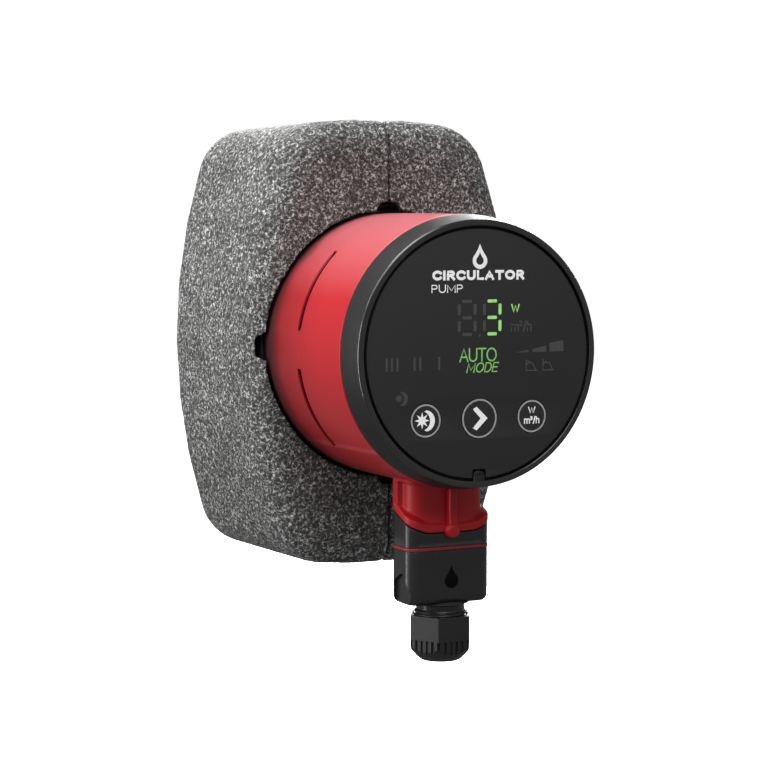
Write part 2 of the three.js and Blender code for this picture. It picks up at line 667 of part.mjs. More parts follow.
function shellStations() {
  const stations = [];
  const roundSteps = 3;
  for (let i = 0; i <= roundSteps; i += 1) {
    const a = (Math.PI / 2) * (i / roundSteps);
    stations.push([
      SHELL_FRONT_Y + SHELL_FRONT_ROUND * (1 - Math.cos(a)), SHELL_FRONT_ROUND * (1 - Math.sin(a))]);
  }
  for (let i = roundSteps; i >= 0; i -= 1) {
    const a = (Math.PI / 2) * (i / roundSteps);
    stations.push([
      SHELL_REAR_Y - SHELL_REAR_ROUND * (1 - Math.cos(a)), SHELL_REAR_ROUND * (1 - Math.sin(a))]);
  }
  return stations;
}

function shellBlock() {
  const positions = [];
  const faces = [];
  const stations = shellStations();
  const depth = SHELL_REAR_Y - SHELL_FRONT_Y;
  let count = 0;
  for (const [y, inset] of stations) {
    const outline = shellOutline((y - SHELL_FRONT_Y) / depth, inset);
    count = outline.length;
    for (const [x, z] of outline) positions.push(x, y, z);
  }
  for (let ring = 0; ring + 1 < stations.length; ring += 1) {
    for (let i = 0; i < count; i += 1) {
      const next = (i + 1) % count;
      const [a, b] = [ring * count + i, ring * count + next];
      faces.push(a, b, b + count, a, b + count, a + count);
    }
  }
  const last = (stations.length - 1) * count;
  positions.push(0, SHELL_FRONT_Y, 0, 0, SHELL_REAR_Y, 0);
  const frontCentre = stations.length * count;
  for (let i = 0; i < count; i += 1) {
    const next = (i + 1) % count;
    faces.push(frontCentre, next, i);
    faces.push(frontCentre + 1, last + i, last + next);
  }
  const geometry = new THREE.BufferGeometry();
  geometry.setAttribute('position', new THREE.Float32BufferAttribute(positions, 3));
  geometry.setIndex(faces);
  return solid(geometry);
}

// The hollow that holds the pump: drum hole with its four notches, flange, volute, ports and union nuts.
function shellHollow() {
  let hollow = disc(DRUM_HOLE_R, SHELL_FRONT_Y - 1, -10, FINE);
  hollow = hollow.add(disc(VOLUTE_R + 1.2, -12, 31.2, MEDIUM));
  for (let i = 0; i < 4; i += 1) {
    const { inner, outer } = NOTCH_HALF_WIDTH;
    const outline = polygon([
      [-inner, 45], [inner, 45], [inner, DRUM_HOLE_R], [outer, NOTCH_OUTER_R], [-outer, NOTCH_OUTER_R],
      [-inner, DRUM_HOLE_R],
    ]);
    const notch = prism(outline, SHELL_FRONT_Y - 1, -20, 'y');
    hollow = hollow.add(notch.rotate([0, 90 * i, 0]));
  }
  const spaces = [
    disc(22, -60, 60, COARSE, 'z'),
    disc(NUT_SPACE_R, 44, 77, MEDIUM, 'z'),
    disc(NUT_SPACE_R, -77, -44, MEDIUM, 'z'),
    disc(PIPE_MOUTH_R, -90, 90, MEDIUM, 'z'),
    box([-25, 25], [19, 31.2], [-11, 11]),
  ];
  for (const space of spaces) hollow = hollow.add(space);
  return hollow;
}

function addShells() {
  const whole = shellBlock().subtract(shellHollow());
  const parting = 0.2;
  const left = whole.intersect(box([-90, -parting], [-60, 60], [-100, 100]));
  const right = whole.intersect(box([parting, 90], [-60, 60], [-100, 100]));
  add('insulation_left', left, materials.foam);
  add('insulation_right', right, materials.foam);
}

addHydraulics();
addRotor();
addMotorInside();
addMotorHousing();
addControlHead();
addSocket();
addPlug();
addShells();

export default pump;
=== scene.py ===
import json
import math

import bmesh
import bpy
import numpy as np
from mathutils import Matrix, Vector, noise


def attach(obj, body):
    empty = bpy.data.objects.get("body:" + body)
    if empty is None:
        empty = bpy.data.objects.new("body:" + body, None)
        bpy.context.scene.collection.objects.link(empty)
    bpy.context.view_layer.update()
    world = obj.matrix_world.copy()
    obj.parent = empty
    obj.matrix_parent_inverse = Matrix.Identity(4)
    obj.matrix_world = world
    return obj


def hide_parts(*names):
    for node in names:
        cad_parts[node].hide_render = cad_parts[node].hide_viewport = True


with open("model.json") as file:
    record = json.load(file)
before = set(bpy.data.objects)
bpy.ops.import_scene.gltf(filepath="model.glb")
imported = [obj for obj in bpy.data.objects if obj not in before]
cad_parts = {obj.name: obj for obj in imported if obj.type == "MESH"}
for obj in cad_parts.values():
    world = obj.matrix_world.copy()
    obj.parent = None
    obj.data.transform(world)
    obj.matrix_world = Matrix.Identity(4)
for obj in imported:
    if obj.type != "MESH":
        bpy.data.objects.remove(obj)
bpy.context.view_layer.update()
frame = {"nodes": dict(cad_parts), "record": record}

# Shapes are worked out in millimetres, in the frame's axes, and written to Blender in metres.
MM = 0.001
SIDES = 192                      # sides of a large round shape
SMOOTH_ANGLE = 38                # degrees between faces above which an edge stays sharp
PLUG_Y = -75.0                   # the plug's upright axis
PLUG_AXIS = (0, PLUG_Y, 0)
DRUM_R = 48.3
FACE_Y = -103.8                  # front of the face plate
PRINT_Y = FACE_Y - 0.04          # front of the symbols printed on it
STROKE_THICKNESS = 0.08          # how far lettering stands off the plate, both sides together
BAND_TOP = -69.35
BUTTON_Z = -22.2
BUTTONS = {"left": (-20.7, 5.7), "centre": (0.0, 6.75), "right": (20.7, 5.65)}    # x and radius of each


# ---- shape helpers

def link(obj):
    bpy.context.scene.collection.objects.link(obj)
    return obj


def finish_mesh(obj, material, sharp=SMOOTH_ANGLE):
    """Merged points, outward faces, smooth shading with edges sharp above an angle, and the material."""
    bm = bmesh.new()
    bm.from_mesh(obj.data)
    bmesh.ops.remove_doubles(bm, verts=bm.verts, dist=2e-7)
    bmesh.ops.dissolve_degenerate(bm, dist=1e-7, edges=bm.edges)
    bmesh.ops.recalc_face_normals(bm, faces=bm.faces)
    bm.to_mesh(obj.data)
    bm.free()
    mesh = obj.data
    mesh.polygons.foreach_set("use_smooth", np.ones(len(mesh.polygons), bool))
    mesh.set_sharp_from_angle(angle=math.radians(sharp))
    mesh.materials.clear()
    mesh.materials.append(material)
    return obj


def points_of(mesh):
    co = np.empty(len(mesh.vertices) * 3, np.float32)
    mesh.vertices.foreach_get("co", co)
    return co.reshape(-1, 3)


def move_points(mesh, co):
    mesh.vertices.foreach_set("co", co.astype(np.float32).ravel())
    mesh.update()


def mesh_object(name, points, faces, material, sharp=SMOOTH_ANGLE):
    mesh = bpy.data.meshes.new(name)
    mesh.from_pydata((np.asarray(points, float) * MM).tolist(), [], faces)
    obj = link(bpy.data.objects.new(name, mesh))
    return finish_mesh(obj, material, sharp)


def loft(name, rings, material, wrap=False, sharp=SMOOTH_ANGLE):
    """A skin over rings of the same number of points. It is closed by wrapping round or by two end faces."""
    rings = np.asarray(rings, float)
    count, size = rings.shape[:2]
    faces = []
    for j in range(count if wrap else count - 1):
        a, b = j * size, ((j + 1) % count) * size
        for i in range(size):
            k = (i + 1) % size
            faces.append((a + i, a + k, b + k, b + i))
    if not wrap:
        faces.append(tuple(range(size)))
        faces.append(tuple(range((count - 1) * size, count * size)))
    return mesh_object(name, rings.reshape(-1, 3), faces, material, sharp)


def circle(radius, height, sides=SIDES, axis="y", centre=(0, 0, 0)):
    """Points round an axis. The radius is one number or one for each point."""
    a = np.linspace(0, 2 * math.pi, sides, endpoint=False)
    flat = np.full(sides, float(height))
    c, s = radius * np.cos(a), radius * np.sin(a)
    ring = {"y": (c, flat, s), "z": (c, s, flat)}[axis]
    return np.stack(ring, -1) + np.array(centre, float)


def lathe(name, profile, material, sides=SIDES, axis="y", centre=(0, 0, 0), wrap=False, sharp=SMOOTH_ANGLE):
    rings = [circle(max(r, 0), h, sides, axis, centre) for r, h in profile]
    return loft(name, rings, material, wrap, sharp)


def rounded(points, radius, steps=4, closed=True):
    """The outline with its corners rounded. A point may carry a radius of its own as a third number."""
    out = []
    last = len(points) - 1
    for i, point in enumerate(points):
        r = point[2] if len(point) > 2 else radius
        here = np.array(point[:2], float)
        if r == 0 or (not closed and i in (0, last)):
            out.append(tuple(here))
            continue
        to_previous = np.array(points[i - 1][:2], float) - here
        to_next = np.array(points[(i + 1) % len(points)][:2], float) - here
        lengths = [np.linalg.norm(to_previous), np.linalg.norm(to_next)]
        to_previous, to_next = to_previous / lengths[0], to_next / lengths[1]
        half = math.acos(np.clip(to_previous @ to_next, -1, 1)) / 2
        reach = min(r / max(math.tan(half), 1e-3), 0.45 * lengths[0], 0.45 * lengths[1])
        start, end = here + to_previous * reach, here + to_next * reach
        for w in np.linspace(0, 1, steps + 1):
            out.append(tuple(start * (1 - w) ** 2 + here * 2 * w * (1 - w) + end * w ** 2))
    return out


def section(half_width, half_depth, radius, counts):
    """A rounded rectangle round the plug's axis as (x, y) points, from the middle of its front.

    counts are the points on half the front, a front corner, a side, a rear corner and half the rear.
    """
    front, corner, side, rear_corner, rear = counts
    fx, fy = half_width - radius, half_depth - radius
    half = [(fx * i / front, -half_depth) for i in range(front)]
    for i in range(corner):
        a = math.pi / 2 * i / corner
        half.append((fx + radius * math.sin(a), -fy - radius * math.cos(a)))
    half += [(half_width, -fy + 2 * fy * i / side) for i in range(side)]
    for i in range(rear_corner):
        a = math.pi / 2 * i / rear_corner
        half.append((fx + radius * math.cos(a), fy + radius * math.sin(a)))
    half += [(fx * (1 - i / rear), half_depth) for i in range(rear)]
    half.append((0.0, half_depth))
    other = [(-x, y) for x, y in half[-2:0:-1]]
    return np.array(half + other) + np.array([0, PLUG_Y])


def at_height(outline, z):
    heights = np.broadcast_to(np.asarray(z, float), (len(outline),))
    return np.column_stack([outline, heights])


def evaluated(obj):
    """Applies the modifiers of an object to its mesh."""
    depsgraph = bpy.context.evaluated_depsgraph_get()
    mesh = bpy.data.meshes.new_from_object(obj.evaluated_get(depsgraph))
    obj.modifiers.clear()
    obj.data = mesh
    return obj


def cut(obj, cutter, material):
    boolean = obj.modifiers.new("cut", "BOOLEAN")
    boolean.operation = "DIFFERENCE"
    boolean.solver = "EXACT"
    boolean.object = cutter
    evaluated(obj)
    bpy.data.objects.remove(cutter)
    return finish_mesh(obj, material)


def remeshed(name, sources, voxel, smoothing, material):
    """One skin round several overlapping solids, with its edges and inside corners softened."""
    joined = bmesh.new()
    for source in sources:
        joined.from_mesh(source.data)
    mesh = bpy.data.meshes.new(name)
    joined.to_mesh(mesh)
    joined.free()
    obj = link(bpy.data.objects.new(name, mesh))
    grid = obj.modifiers.new("grid", "REMESH")
    grid.mode = "VOXEL"
    grid.voxel_size = voxel * MM
    soften = obj.modifiers.new("soften", "SMOOTH")
    soften.factor = 0.5
    soften.iterations = smoothing
    evaluated(obj)
    obj.data.polygons.foreach_set("use_smooth", np.ones(len(obj.data.polygons), bool))
    obj.data.materials.clear()
    obj.data.materials.append(material)
    return obj


def place(obj, body, slot, *nodes):
    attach(obj, body)
    if nodes:
        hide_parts(*nodes)
    return obj


# ---- flat shapes on the face

def add_line(curve, points, closed):
    spline = curve.splines.new("POLY")
    spline.points.add(len(points) - 1)
    for point, (x, z) in zip(spline.points, points):
        point.co = (x * MM, z * MM, 0, 1)
    spline.use_cyclic_u = closed


def face_shape(name, loops, material, front=FACE_Y, depth=0.04, bevel=0.0):
    """Closed (x, z) outlines, filled and given a depth behind their front. One inside another is a hole."""
    curve = bpy.data.curves.new(name, "CURVE")
    curve.dimensions = "2D"
    curve.fill_mode = "BOTH"
    curve.extrude = (depth / 2 - bevel) * MM
    curve.bevel_depth = bevel * MM
    curve.bevel_resolution = 2
    curve.offset = -bevel * MM
    for loop in loops:
        add_line(curve, loop, True)
    return stood_up(name, curve, material, front + depth / 2)


def stood_up(name, curve, material, y):
    """The mesh of a flat curve or text, turned from the XY plane to face -Y."""
    flat = link(bpy.data.objects.new(name + "_flat", curve))
    depsgraph = bpy.context.evaluated_depsgraph_get()
    mesh = bpy.data.meshes.new_from_object(flat.evaluated_get(depsgraph))
    bpy.data.objects.remove(flat)
    co = points_of(mesh)
    move_points(mesh, np.column_stack([co[:, 0], y * MM - co[:, 2], co[:, 1]]))
    obj = link(bpy.data.objects.new(name, mesh))
    return finish_mesh(obj, material)


def bowl(cx, cz, rx, rz, start, end, steps=14):
    """Points of an ellipse from one angle to another, in degrees."""
    a = np.radians(np.linspace(start, end, steps))
    return [(cx + rx * math.cos(t), cz + rz * math.sin(t)) for t in a]


# Generic letters as strokes in a box of the given width and unit height.
GLYPHS = {
    "A": (0.80, [[(0, 0), (0.40, 1), (0.80, 0)], [(0.14, 0.34), (0.66, 0.34)]]),
    "C": (0.82, [bowl(0.46, 0.5, 0.46, 0.5, 42, 318, 24)]),
    "D": (0.76, [[(0.3, 0), (0, 0), (0, 1), (0.3, 1)] + bowl(0.3, 0.5, 0.46, 0.5, 80, -90)]),
    "E": (0.58, [[(0.58, 1), (0, 1), (0, 0), (0.58, 0)], [(0, 0.52), (0.5, 0.52)]]),
    "I": (0.02, [[(0, 0), (0, 1)]]),
    "L": (0.54, [[(0, 1), (0, 0), (0.54, 0)]]),
    "M": (0.90, [[(0, 0), (0, 1), (0.45, 0.2), (0.90, 1), (0.90, 0)]]),
    "O": (0.92, [bowl(0.46, 0.5, 0.46, 0.5, 90, 450, 32)]),
    "P": (0.60, [[(0, 0), (0, 1), (0.34, 1)] + bowl(0.34, 0.74, 0.26, 0.26, 75, -90) + [(0, 0.48)]]),
    "R": (0.66, [[(0, 0), (0, 1), (0.36, 1)] + bowl(0.36, 0.74, 0.28, 0.26, 75, -90) + [(0, 0.48)],
                 [(0.32, 0.48), (0.66, 0)]]),
    "T": (0.74, [[(0, 1), (0.74, 1)], [(0.37, 1), (0.37, 0)]]),
    "U": (0.74, [[(0, 1), (0, 0.37)] + bowl(0.37, 0.37, 0.37, 0.37, 188, 352) + [(0.74, 0.37), (0.74, 1)]]),
    "W": (1.10, [[(0, 1), (0.28, 0), (0.55, 0.92), (0.82, 0), (1.10, 1)]]),
    "m": (0.86, [[(0, 0), (0, 0.7)], [(0, 0.45)] + bowl(0.215, 0.48, 0.215, 0.22, 170, 0) + [(0.43, 0)],
                 [(0.43, 0.45)] + bowl(0.645, 0.48, 0.215, 0.22, 170, 0) + [(0.86, 0)]]),
    "3": (0.26, [bowl(0.10, 0.93, 0.14, 0.12, 130, -90) + bowl(0.10, 0.69, 0.16, 0.13, 90, -130)]),
    "/": (0.30, [[(0, -0.08), (0.30, 1.05)]]),
    "h": (0.46, [[(0, 0), (0, 1)], [(0, 0.42)] + bowl(0.23, 0.46, 0.23, 0.24, 170, 0) + [(0.46, 0)]]),
}


def lengthened(line, extra):
    """A line with its two ends drawn out, so that a stroke along it ends square."""
    points = [np.array(point, float) for point in line]
    ends = []
    for end, inner in ((points[0], points[1]), (points[-1], points[-2])):
        ends.append(end + (end - inner) / np.linalg.norm(end - inner) * extra)
    return [ends[0], *points[1:-1], ends[1]]


def face_strokes(name, lines, width, material):
    """Open or closed (x, z) lines drawn on the face with a flat stroke."""
    curve = bpy.data.curves.new(name, "CURVE")
    curve.dimensions = "3D"
    curve.bevel_depth = width / 2 * MM
    curve.bevel_resolution = 1
    curve.use_fill_caps = True
    for line in lines:
        closed = np.hypot(line[0][0] - line[-1][0], line[0][1] - line[-1][1]) < 1e-6
        points = line[:-1] if closed else lengthened(line, width / 2)
        add_line(curve, points, bool(closed))
    obj = stood_up(name, curve, material, 0)
    co = points_of(obj.data)
    co[:, 1] = FACE_Y * MM + co[:, 1] * (STROKE_THICKNESS / width)
    move_points(obj.data, co)
    return obj


def face_text(name, text, box, width, material, gap=0.22, slant=0.0):
    """Generic lettering whose strokes' outer edges fill a box (x0, x1, z0, z1) on the face."""
    lines, at = [], 0.0
    for letter in text:
        size, strokes = GLYPHS[letter]
        lines += [[(x + at + slant * z, z) for x, z in stroke] for stroke in strokes]
        at += size + gap
    across = [x for line in lines for x, _ in line]
    least, most = min(across), max(across)
    x0, x1, z0, z1 = box
    span, rise = x1 - x0 - width, z1 - z0 - width
    left, foot = x0 + width / 2, z0 + width / 2
    placed = [[(left + (x - least) / (most - least) * span, foot + z * rise) for x, z in line]
              for line in lines]
    return face_strokes(name, placed, width, material)


def arc(centre, radius, start, end, steps=48):
    return bowl(*centre, radius, radius, start, end, steps)


def bar(start, end, width, tip=0.5):
    """A bar between two points with its ends rounded by a share of its width."""
    a, b = np.array(start, float), np.array(end, float)
    along = (b - a) / np.linalg.norm(b - a)
    side = np.array([-along[1], along[0]]) * width / 2
    corners = [tuple(a + side), tuple(b + side), tuple(b - side), tuple(a - side)]
    return rounded(corners, width * tip)


def star(centre, outer, inner, points):
    loop = []
    for i in range(2 * points):
        radius = outer if i % 2 == 0 else inner
        a = math.pi * i / points
        loop.append((centre[0] + radius * math.cos(a), centre[1] + radius * math.sin(a)))
    return loop


def crescent(centre, outer, shift, inner):
    lower = arc(centre, outer, -82, 82)
    upper = arc((centre[0] - shift, centre[1]), inner, 70, -70)
    return lower + upper


def drop(centre, height):
    """A water drop: round below and drawn to a point above."""
    x, z = centre
    r = height * 0.33
    loop = arc((x, z - height / 2 + r), r, -212, 32, 40)
    tip = (x, z + height / 2)
    right, left = loop[-1], loop[0]
    bend = [(x + 0.25 * r, z + 0.25 * height), (x - 0.25 * r, z + 0.25 * height)]
    return loop + quadratic(right, bend[0], tip)[1:] + quadratic(tip, bend[1], left)[1:-1]


def quadratic(a, b, c, steps=8):
    a, b, c = (np.array(p, float) for p in (a, b, c))
    return [tuple(a * (1 - w) ** 2 + b * 2 * w * (1 - w) + c * w ** 2) for w in np.linspace(0, 1, steps)]


# ---- materials

def add(tree, kind, values=None, **settings):
    node = tree.nodes.new(kind)
    for key, value in settings.items():
        setattr(node, key, value)
    for key, value in (values or {}).items():
        node.inputs[key].default_value = value
    return node


def new_material(name, **shader):
    material = bpy.data.materials.new(name)
    material.use_nodes = True
    tree = material.node_tree
    principled = tree.nodes["Principled BSDF"]
    for key, value in shader.items():
        principled.inputs[key.replace("_", " ")].default_value = value
    coordinates = add(tree, "ShaderNodeTexCoord")
    return material, tree, principled, coordinates.outputs["Object"]


def feed(tree, value, socket):
    """Links another socket in, or sets a plain number or colour."""
    if isinstance(value, bpy.types.NodeSocket):
        tree.links.new(value, socket)
    else:
        socket.default_value = (*value, 1) if isinstance(value, tuple) else value


def noise_node(tree, where, scale, detail=3.0, roughness=0.5, distortion=0.0):
    values = {"Scale": scale, "Detail": detail, "Roughness": roughness, "Distortion": distortion}
    node = add(tree, "ShaderNodeTexNoise", values)
    tree.links.new(where, node.inputs["Vector"])
    return node.outputs["Fac"]


def ranged(tree, value, low, high, to_low, to_high):
    values = {"From Min": low, "From Max": high, "To Min": to_low, "To Max": to_high}
    node = add(tree, "ShaderNodeMapRange", values)
    tree.links.new(value, node.inputs["Value"])
    return node.outputs["Result"]


def mixed(tree, factor, first, second):
    node = add(tree, "ShaderNodeMix", data_type="RGBA")
    for value, socket in ((factor, "Factor"), (first, "A"), (second, "B")):
        feed(tree, value, node.inputs[socket])
    return node.outputs["Result"]


def math_node(tree, operation, first, second=0.0):
    node = add(tree, "ShaderNodeMath", operation=operation)
    feed(tree, first, node.inputs[0])
    feed(tree, second, node.inputs[1])
    return node.outputs["Value"]


def bumped(tree, height, distance, edge=0.0):
    """Raises the surface by a pattern's height in mm. An edge radius eases the corners under it."""
    bump = add(tree, "ShaderNodeBump", {"Strength": 1.0, "Distance": distance * MM})
    tree.links.new(height, bump.inputs["Height"])
    if edge:
        eased = add(tree, "ShaderNodeBevel", {"Radius": edge * MM}, samples=4)
        tree.links.new(eased.outputs["Normal"], bump.inputs["Normal"])
    tree.links.new(bump.outputs["Normal"], tree.nodes["Principled BSDF"].inputs["Normal"])


def surface(name, color, rough, mottle, grain, spread=0.06, wear=None, edge=0.0, **shader):
    """A worn or moulded surface: colour and roughness drift, a fine grain, lighter worn edges, eased corners.

    mottle is the scale and strength of the colour's drift, grain the scale and height in mm of the bumps.
    """
    material, tree, principled, where = new_material(name, **shader)
    cloud = noise_node(tree, where, mottle[0], 5.0, 0.6)
    darker = tuple(c * (1 - mottle[1]) for c in color)
    lighter = tuple(min(1, c * (1 + mottle[1])) for c in color)
    paint = mixed(tree, ranged(tree, cloud, 0.3, 0.7, 0, 1), darker, lighter)
    if wear:
        geometry = add(tree, "ShaderNodeNewGeometry")
        worn = ranged(tree, geometry.outputs["Pointiness"], 0.53, 0.62, 0, 0.7)
        paint = mixed(tree, worn, paint, wear)
    tree.links.new(paint, principled.inputs["Base Color"])
    fine = noise_node(tree, where, grain[0], 4.0, 0.6)
    drift = ranged(tree, fine, 0.3, 0.7, rough - spread, rough + spread)
    tree.links.new(drift, principled.inputs["Roughness"])
    bumped(tree, fine, grain[1], edge)
    return material


FOAM_FRONT = 0.0335              # metres from the pipe axis to the front of the foam, where the painted shadow starts
FOAM_SHADOW_SHARE = 0.86               # share of painted shadow over paint right against the foam


def red_material():
    """Red drum with a painted highlight making it paler towards its top, painted shade darkening its sides
    towards the foam, and a painted shadow against the foam.

    The painted shadow reaches furthest forward at the four screws and low down.
    """
    material = surface("red_coat", (0.45, 0.0115, 0.018), 0.33, (25, 0.05), (900, 0.006), 0.03,
                       wear=(0.62, 0.06, 0.07), Coat_Weight=0.05, Coat_Roughness=0.3, Specular_IOR_Level=0.36)
    tree = material.node_tree
    principled = tree.nodes["Principled BSDF"]
    paint = principled.inputs["Base Color"].links[0].from_socket
    split = add(tree, "ShaderNodeSeparateXYZ")
    where = next(node for node in tree.nodes if node.bl_idname == "ShaderNodeTexCoord").outputs["Object"]
    tree.links.new(where, split.inputs[0])
    x, y, z = split.outputs
    # Painted shadow of the foam on the drum, reaching further forward at the four screws and low down.
    diagonal = math_node(tree, "ABSOLUTE", math_node(tree, "MULTIPLY", x, z))
    screw = math_node(tree, "POWER", math_node(tree, "MULTIPLY", diagonal, 2 / (0.0484 ** 2)), 30.0)
    low = ranged(tree, z, 0.045, -0.02, 0.0, 1.0)
    at_screws = math_node(tree, "MULTIPLY", screw, 0.005)
    reach = math_node(tree, "ADD", at_screws, math_node(tree, "MULTIPLY", low, 0.008))
    ahead = math_node(tree, "SUBTRACT", math_node(tree, "MULTIPLY", y, -1.0), FOAM_FRONT)
    shadow_ratio = math_node(tree, "DIVIDE", ahead, math_node(tree, "ADD", reach, 0.005))
    foam_shadow = ranged(tree, shadow_ratio, 0.0, 1.0, FOAM_SHADOW_SHARE, 0.0)
    node = next(n for n in tree.nodes if n.bl_idname == "ShaderNodeMapRange" and n.outputs[0] == foam_shadow)
    node.interpolation_type = "SMOOTHSTEP"
    # Painted shade: the sides darken downwards and towards the foam.
    sides = ranged(tree, z, 0.047, 0.018, 0.0, 1.0)
    fade = math_node(tree, "MULTIPLY", sides, ranged(tree, ahead, 0.0, 0.040, 0.66, 0.0))
    # Painted highlight: the top is mixed towards pale pink.
    top_highlight = mixed(tree, ranged(tree, z, 0.019, 0.048, 0.0, 0.235), paint, (0.85, 0.56, 0.62))
    shaded = mixed(tree, fade, top_highlight, (0.085, 0.0015, 0.003))
    # The painted shadow is near black right against the foam.
    tree.links.new(mixed(tree, foam_shadow, shaded, (0.012, 0.001, 0.0015)), principled.inputs["Base Color"])
    gloss = principled.inputs["Roughness"].links[0].from_socket
    dull = math_node(tree, "MAXIMUM", gloss, ranged(tree, foam_shadow, 0.0, FOAM_SHADOW_SHARE, 0.3, 0.6))
    tree.links.new(dull, principled.inputs["Roughness"])
    return material


def foam_material():
    """Grey expanded foam skin: dark matt grains with short curled pale flecks and shallow bead outlines."""
    material, tree, principled, where = new_material("foam_skin", Roughness=0.72, Specular_IOR_Level=0.45)
    warp = add(tree, "ShaderNodeTexNoise", {"Scale": 420.0, "Detail": 2.0})
    tree.links.new(where, warp.inputs["Vector"])
    offset = add(tree, "ShaderNodeVectorMath", operation="MULTIPLY_ADD")
    offset.inputs[1].default_value = (0.0016,) * 3
    tree.links.new(warp.outputs["Color"], offset.inputs[0])
    tree.links.new(where, offset.inputs[2])
    curled = offset.outputs["Vector"]
    blotches = noise_node(tree, curled, 880.0, 2.5, 0.62, 0.4)
    strands = noise_node(tree, curled, 520.0, 1.0, 0.5, 0.6)
    off_line = math_node(tree, "ABSOLUTE", math_node(tree, "SUBTRACT", strands, 0.5))
    hair = ranged(tree, off_line, 0.0, 0.045, 0.17, 0.0)
    flecks = math_node(tree, "ADD", math_node(tree, "MULTIPLY", blotches, 0.86), hair)
    beads = add(tree, "ShaderNodeTexVoronoi", {"Scale": 330.0}, feature="DISTANCE_TO_EDGE")
    tree.links.new(curled, beads.inputs["Vector"])
    ramp = add(tree, "ShaderNodeValToRGB")
    stops = [(0.36, 0.034), (0.44, 0.080), (0.50, 0.165), (0.56, 0.36), (0.64, 0.74)]
    while len(ramp.color_ramp.elements) < len(stops):
        ramp.color_ramp.elements.new(0.5)
    for element, (position, grey) in zip(ramp.color_ramp.elements, stops):
        element.position = position
        element.color = (grey * 0.99, grey, grey * 0.98, 1)
    tree.links.new(flecks, ramp.inputs["Fac"])
    patches = noise_node(tree, where, 45.0, 3.0)
    shade = add(tree, "ShaderNodeMix", {"Factor": 1.0}, data_type="RGBA", blend_type="MULTIPLY")
    tree.links.new(ramp.outputs["Color"], shade.inputs["A"])
    tint = mixed(tree, ranged(tree, patches, 0.35, 0.65, 0, 1), (0.78, 0.77, 0.76), (1.0, 1.0, 1.0))
    tree.links.new(tint, shade.inputs["B"])
    tree.links.new(shade.outputs["Result"], principled.inputs["Base Color"])
    outline = ranged(tree, beads.outputs["Distance"], 0.0, 0.12, 0.0, 0.5)
    bumped(tree, math_node(tree, "ADD", flecks, outline), 0.35)
    return material


def striped(name, color, dark, axis, pitch, rough, height, **shader):
    """Stacked sheets or wound wire: fine parallel lines across one axis."""
    material, tree, principled, where = new_material(name, **shader)
    scale = 1 / (pitch * MM) / 20 * math.pi * 2
    values = {"Scale": scale, "Distortion": 0.6, "Detail": 2.0, "Detail Scale": 2.0}
    kind = {"wave_type": "BANDS", "bands_direction": axis, "wave_profile": "SIN"}
    lines = add(tree, "ShaderNodeTexWave", values, **kind)
    tree.links.new(where, lines.inputs["Vector"])
    paint = mixed(tree, lines.outputs["Fac"], dark, color)
    tree.links.new(paint, principled.inputs["Base Color"])
    cloud = noise_node(tree, where, 300.0)
    tree.links.new(ranged(tree, cloud, 0.3, 0.7, rough - 0.1, rough + 0.1), principled.inputs["Roughness"])
    bumped(tree, lines.outputs["Fac"], height)
    return material


def glowing(name, color, strength):
    """A lit segment behind the plate, a little uneven as a small lamp behind a diffuser is."""
    material, tree, principled, where = new_material(name, Base_Color=(0.01, 0.02, 0.01, 1), Roughness=0.5)
    cloud = noise_node(tree, where, 700.0, 2.0)
    dimmer = tuple(c * 0.8 for c in color)
    light = mixed(tree, ranged(tree, cloud, 0.35, 0.65, 0, 1), dimmer, color)
    tree.links.new(light, principled.inputs["Emission Color"])
    principled.inputs["Emission Strength"].default_value = strength
    return material


def grey(value):
    return (value, value, value)


red = red_material()
red_matt = surface("red_moulding", (0.42, 0.0085, 0.014), 0.46, (60, 0.07), (1400, 0.008), 0.05,
                   wear=(0.55, 0.03, 0.04), Specular_IOR_Level=0.35)
# Dark red for the floors of the slots: painted shade in the slots.
slot_painted_shade = surface("slot_shade", (0.085, 0.0025, 0.0042), 0.55, (60, 0.07), (1400, 0.008), 0.05,
                   Specular_IOR_Level=0.2)
ring_gloss = surface("ring_edge", grey(0.009), 0.14, (80, 0.10), (4200, 0.001), 0.02, wear=grey(0.03),
                     Specular_IOR_Level=1.0)
ring_black = surface("ring_plastic", grey(0.0150), 0.47, (80, 0.10), (2300, 0.09), 0.10,
                     wear=grey(0.060), Specular_IOR_Level=0.26)
plate_black = surface("plate_film", grey(0.0290), 0.60, (30, 0.03), (7000, 0.0015), 0.03,
                      Specular_IOR_Level=0.22)
plug_black = surface("plug_plastic", (0.0130, 0.0134, 0.0136), 0.30, (70, 0.12), (4200, 0.010), 0.06,
                     wear=grey(0.045), edge=0.25, Specular_IOR_Level=0.5)
nut_black = surface("nut_plastic", (0.0092, 0.0095, 0.0097), 0.44, (120, 0.18), (3200, 0.03), 0.08,
                    wear=grey(0.06))
deep_black = surface("dark_inlay", grey(0.0015), 0.5, (90, 0.15), (3000, 0.004), 0.05,
                     Specular_IOR_Level=0.08)
seal_red = surface("seal_rubber", (0.20, 0.013, 0.012), 0.50, (150, 0.12), (2600, 0.015), 0.06)
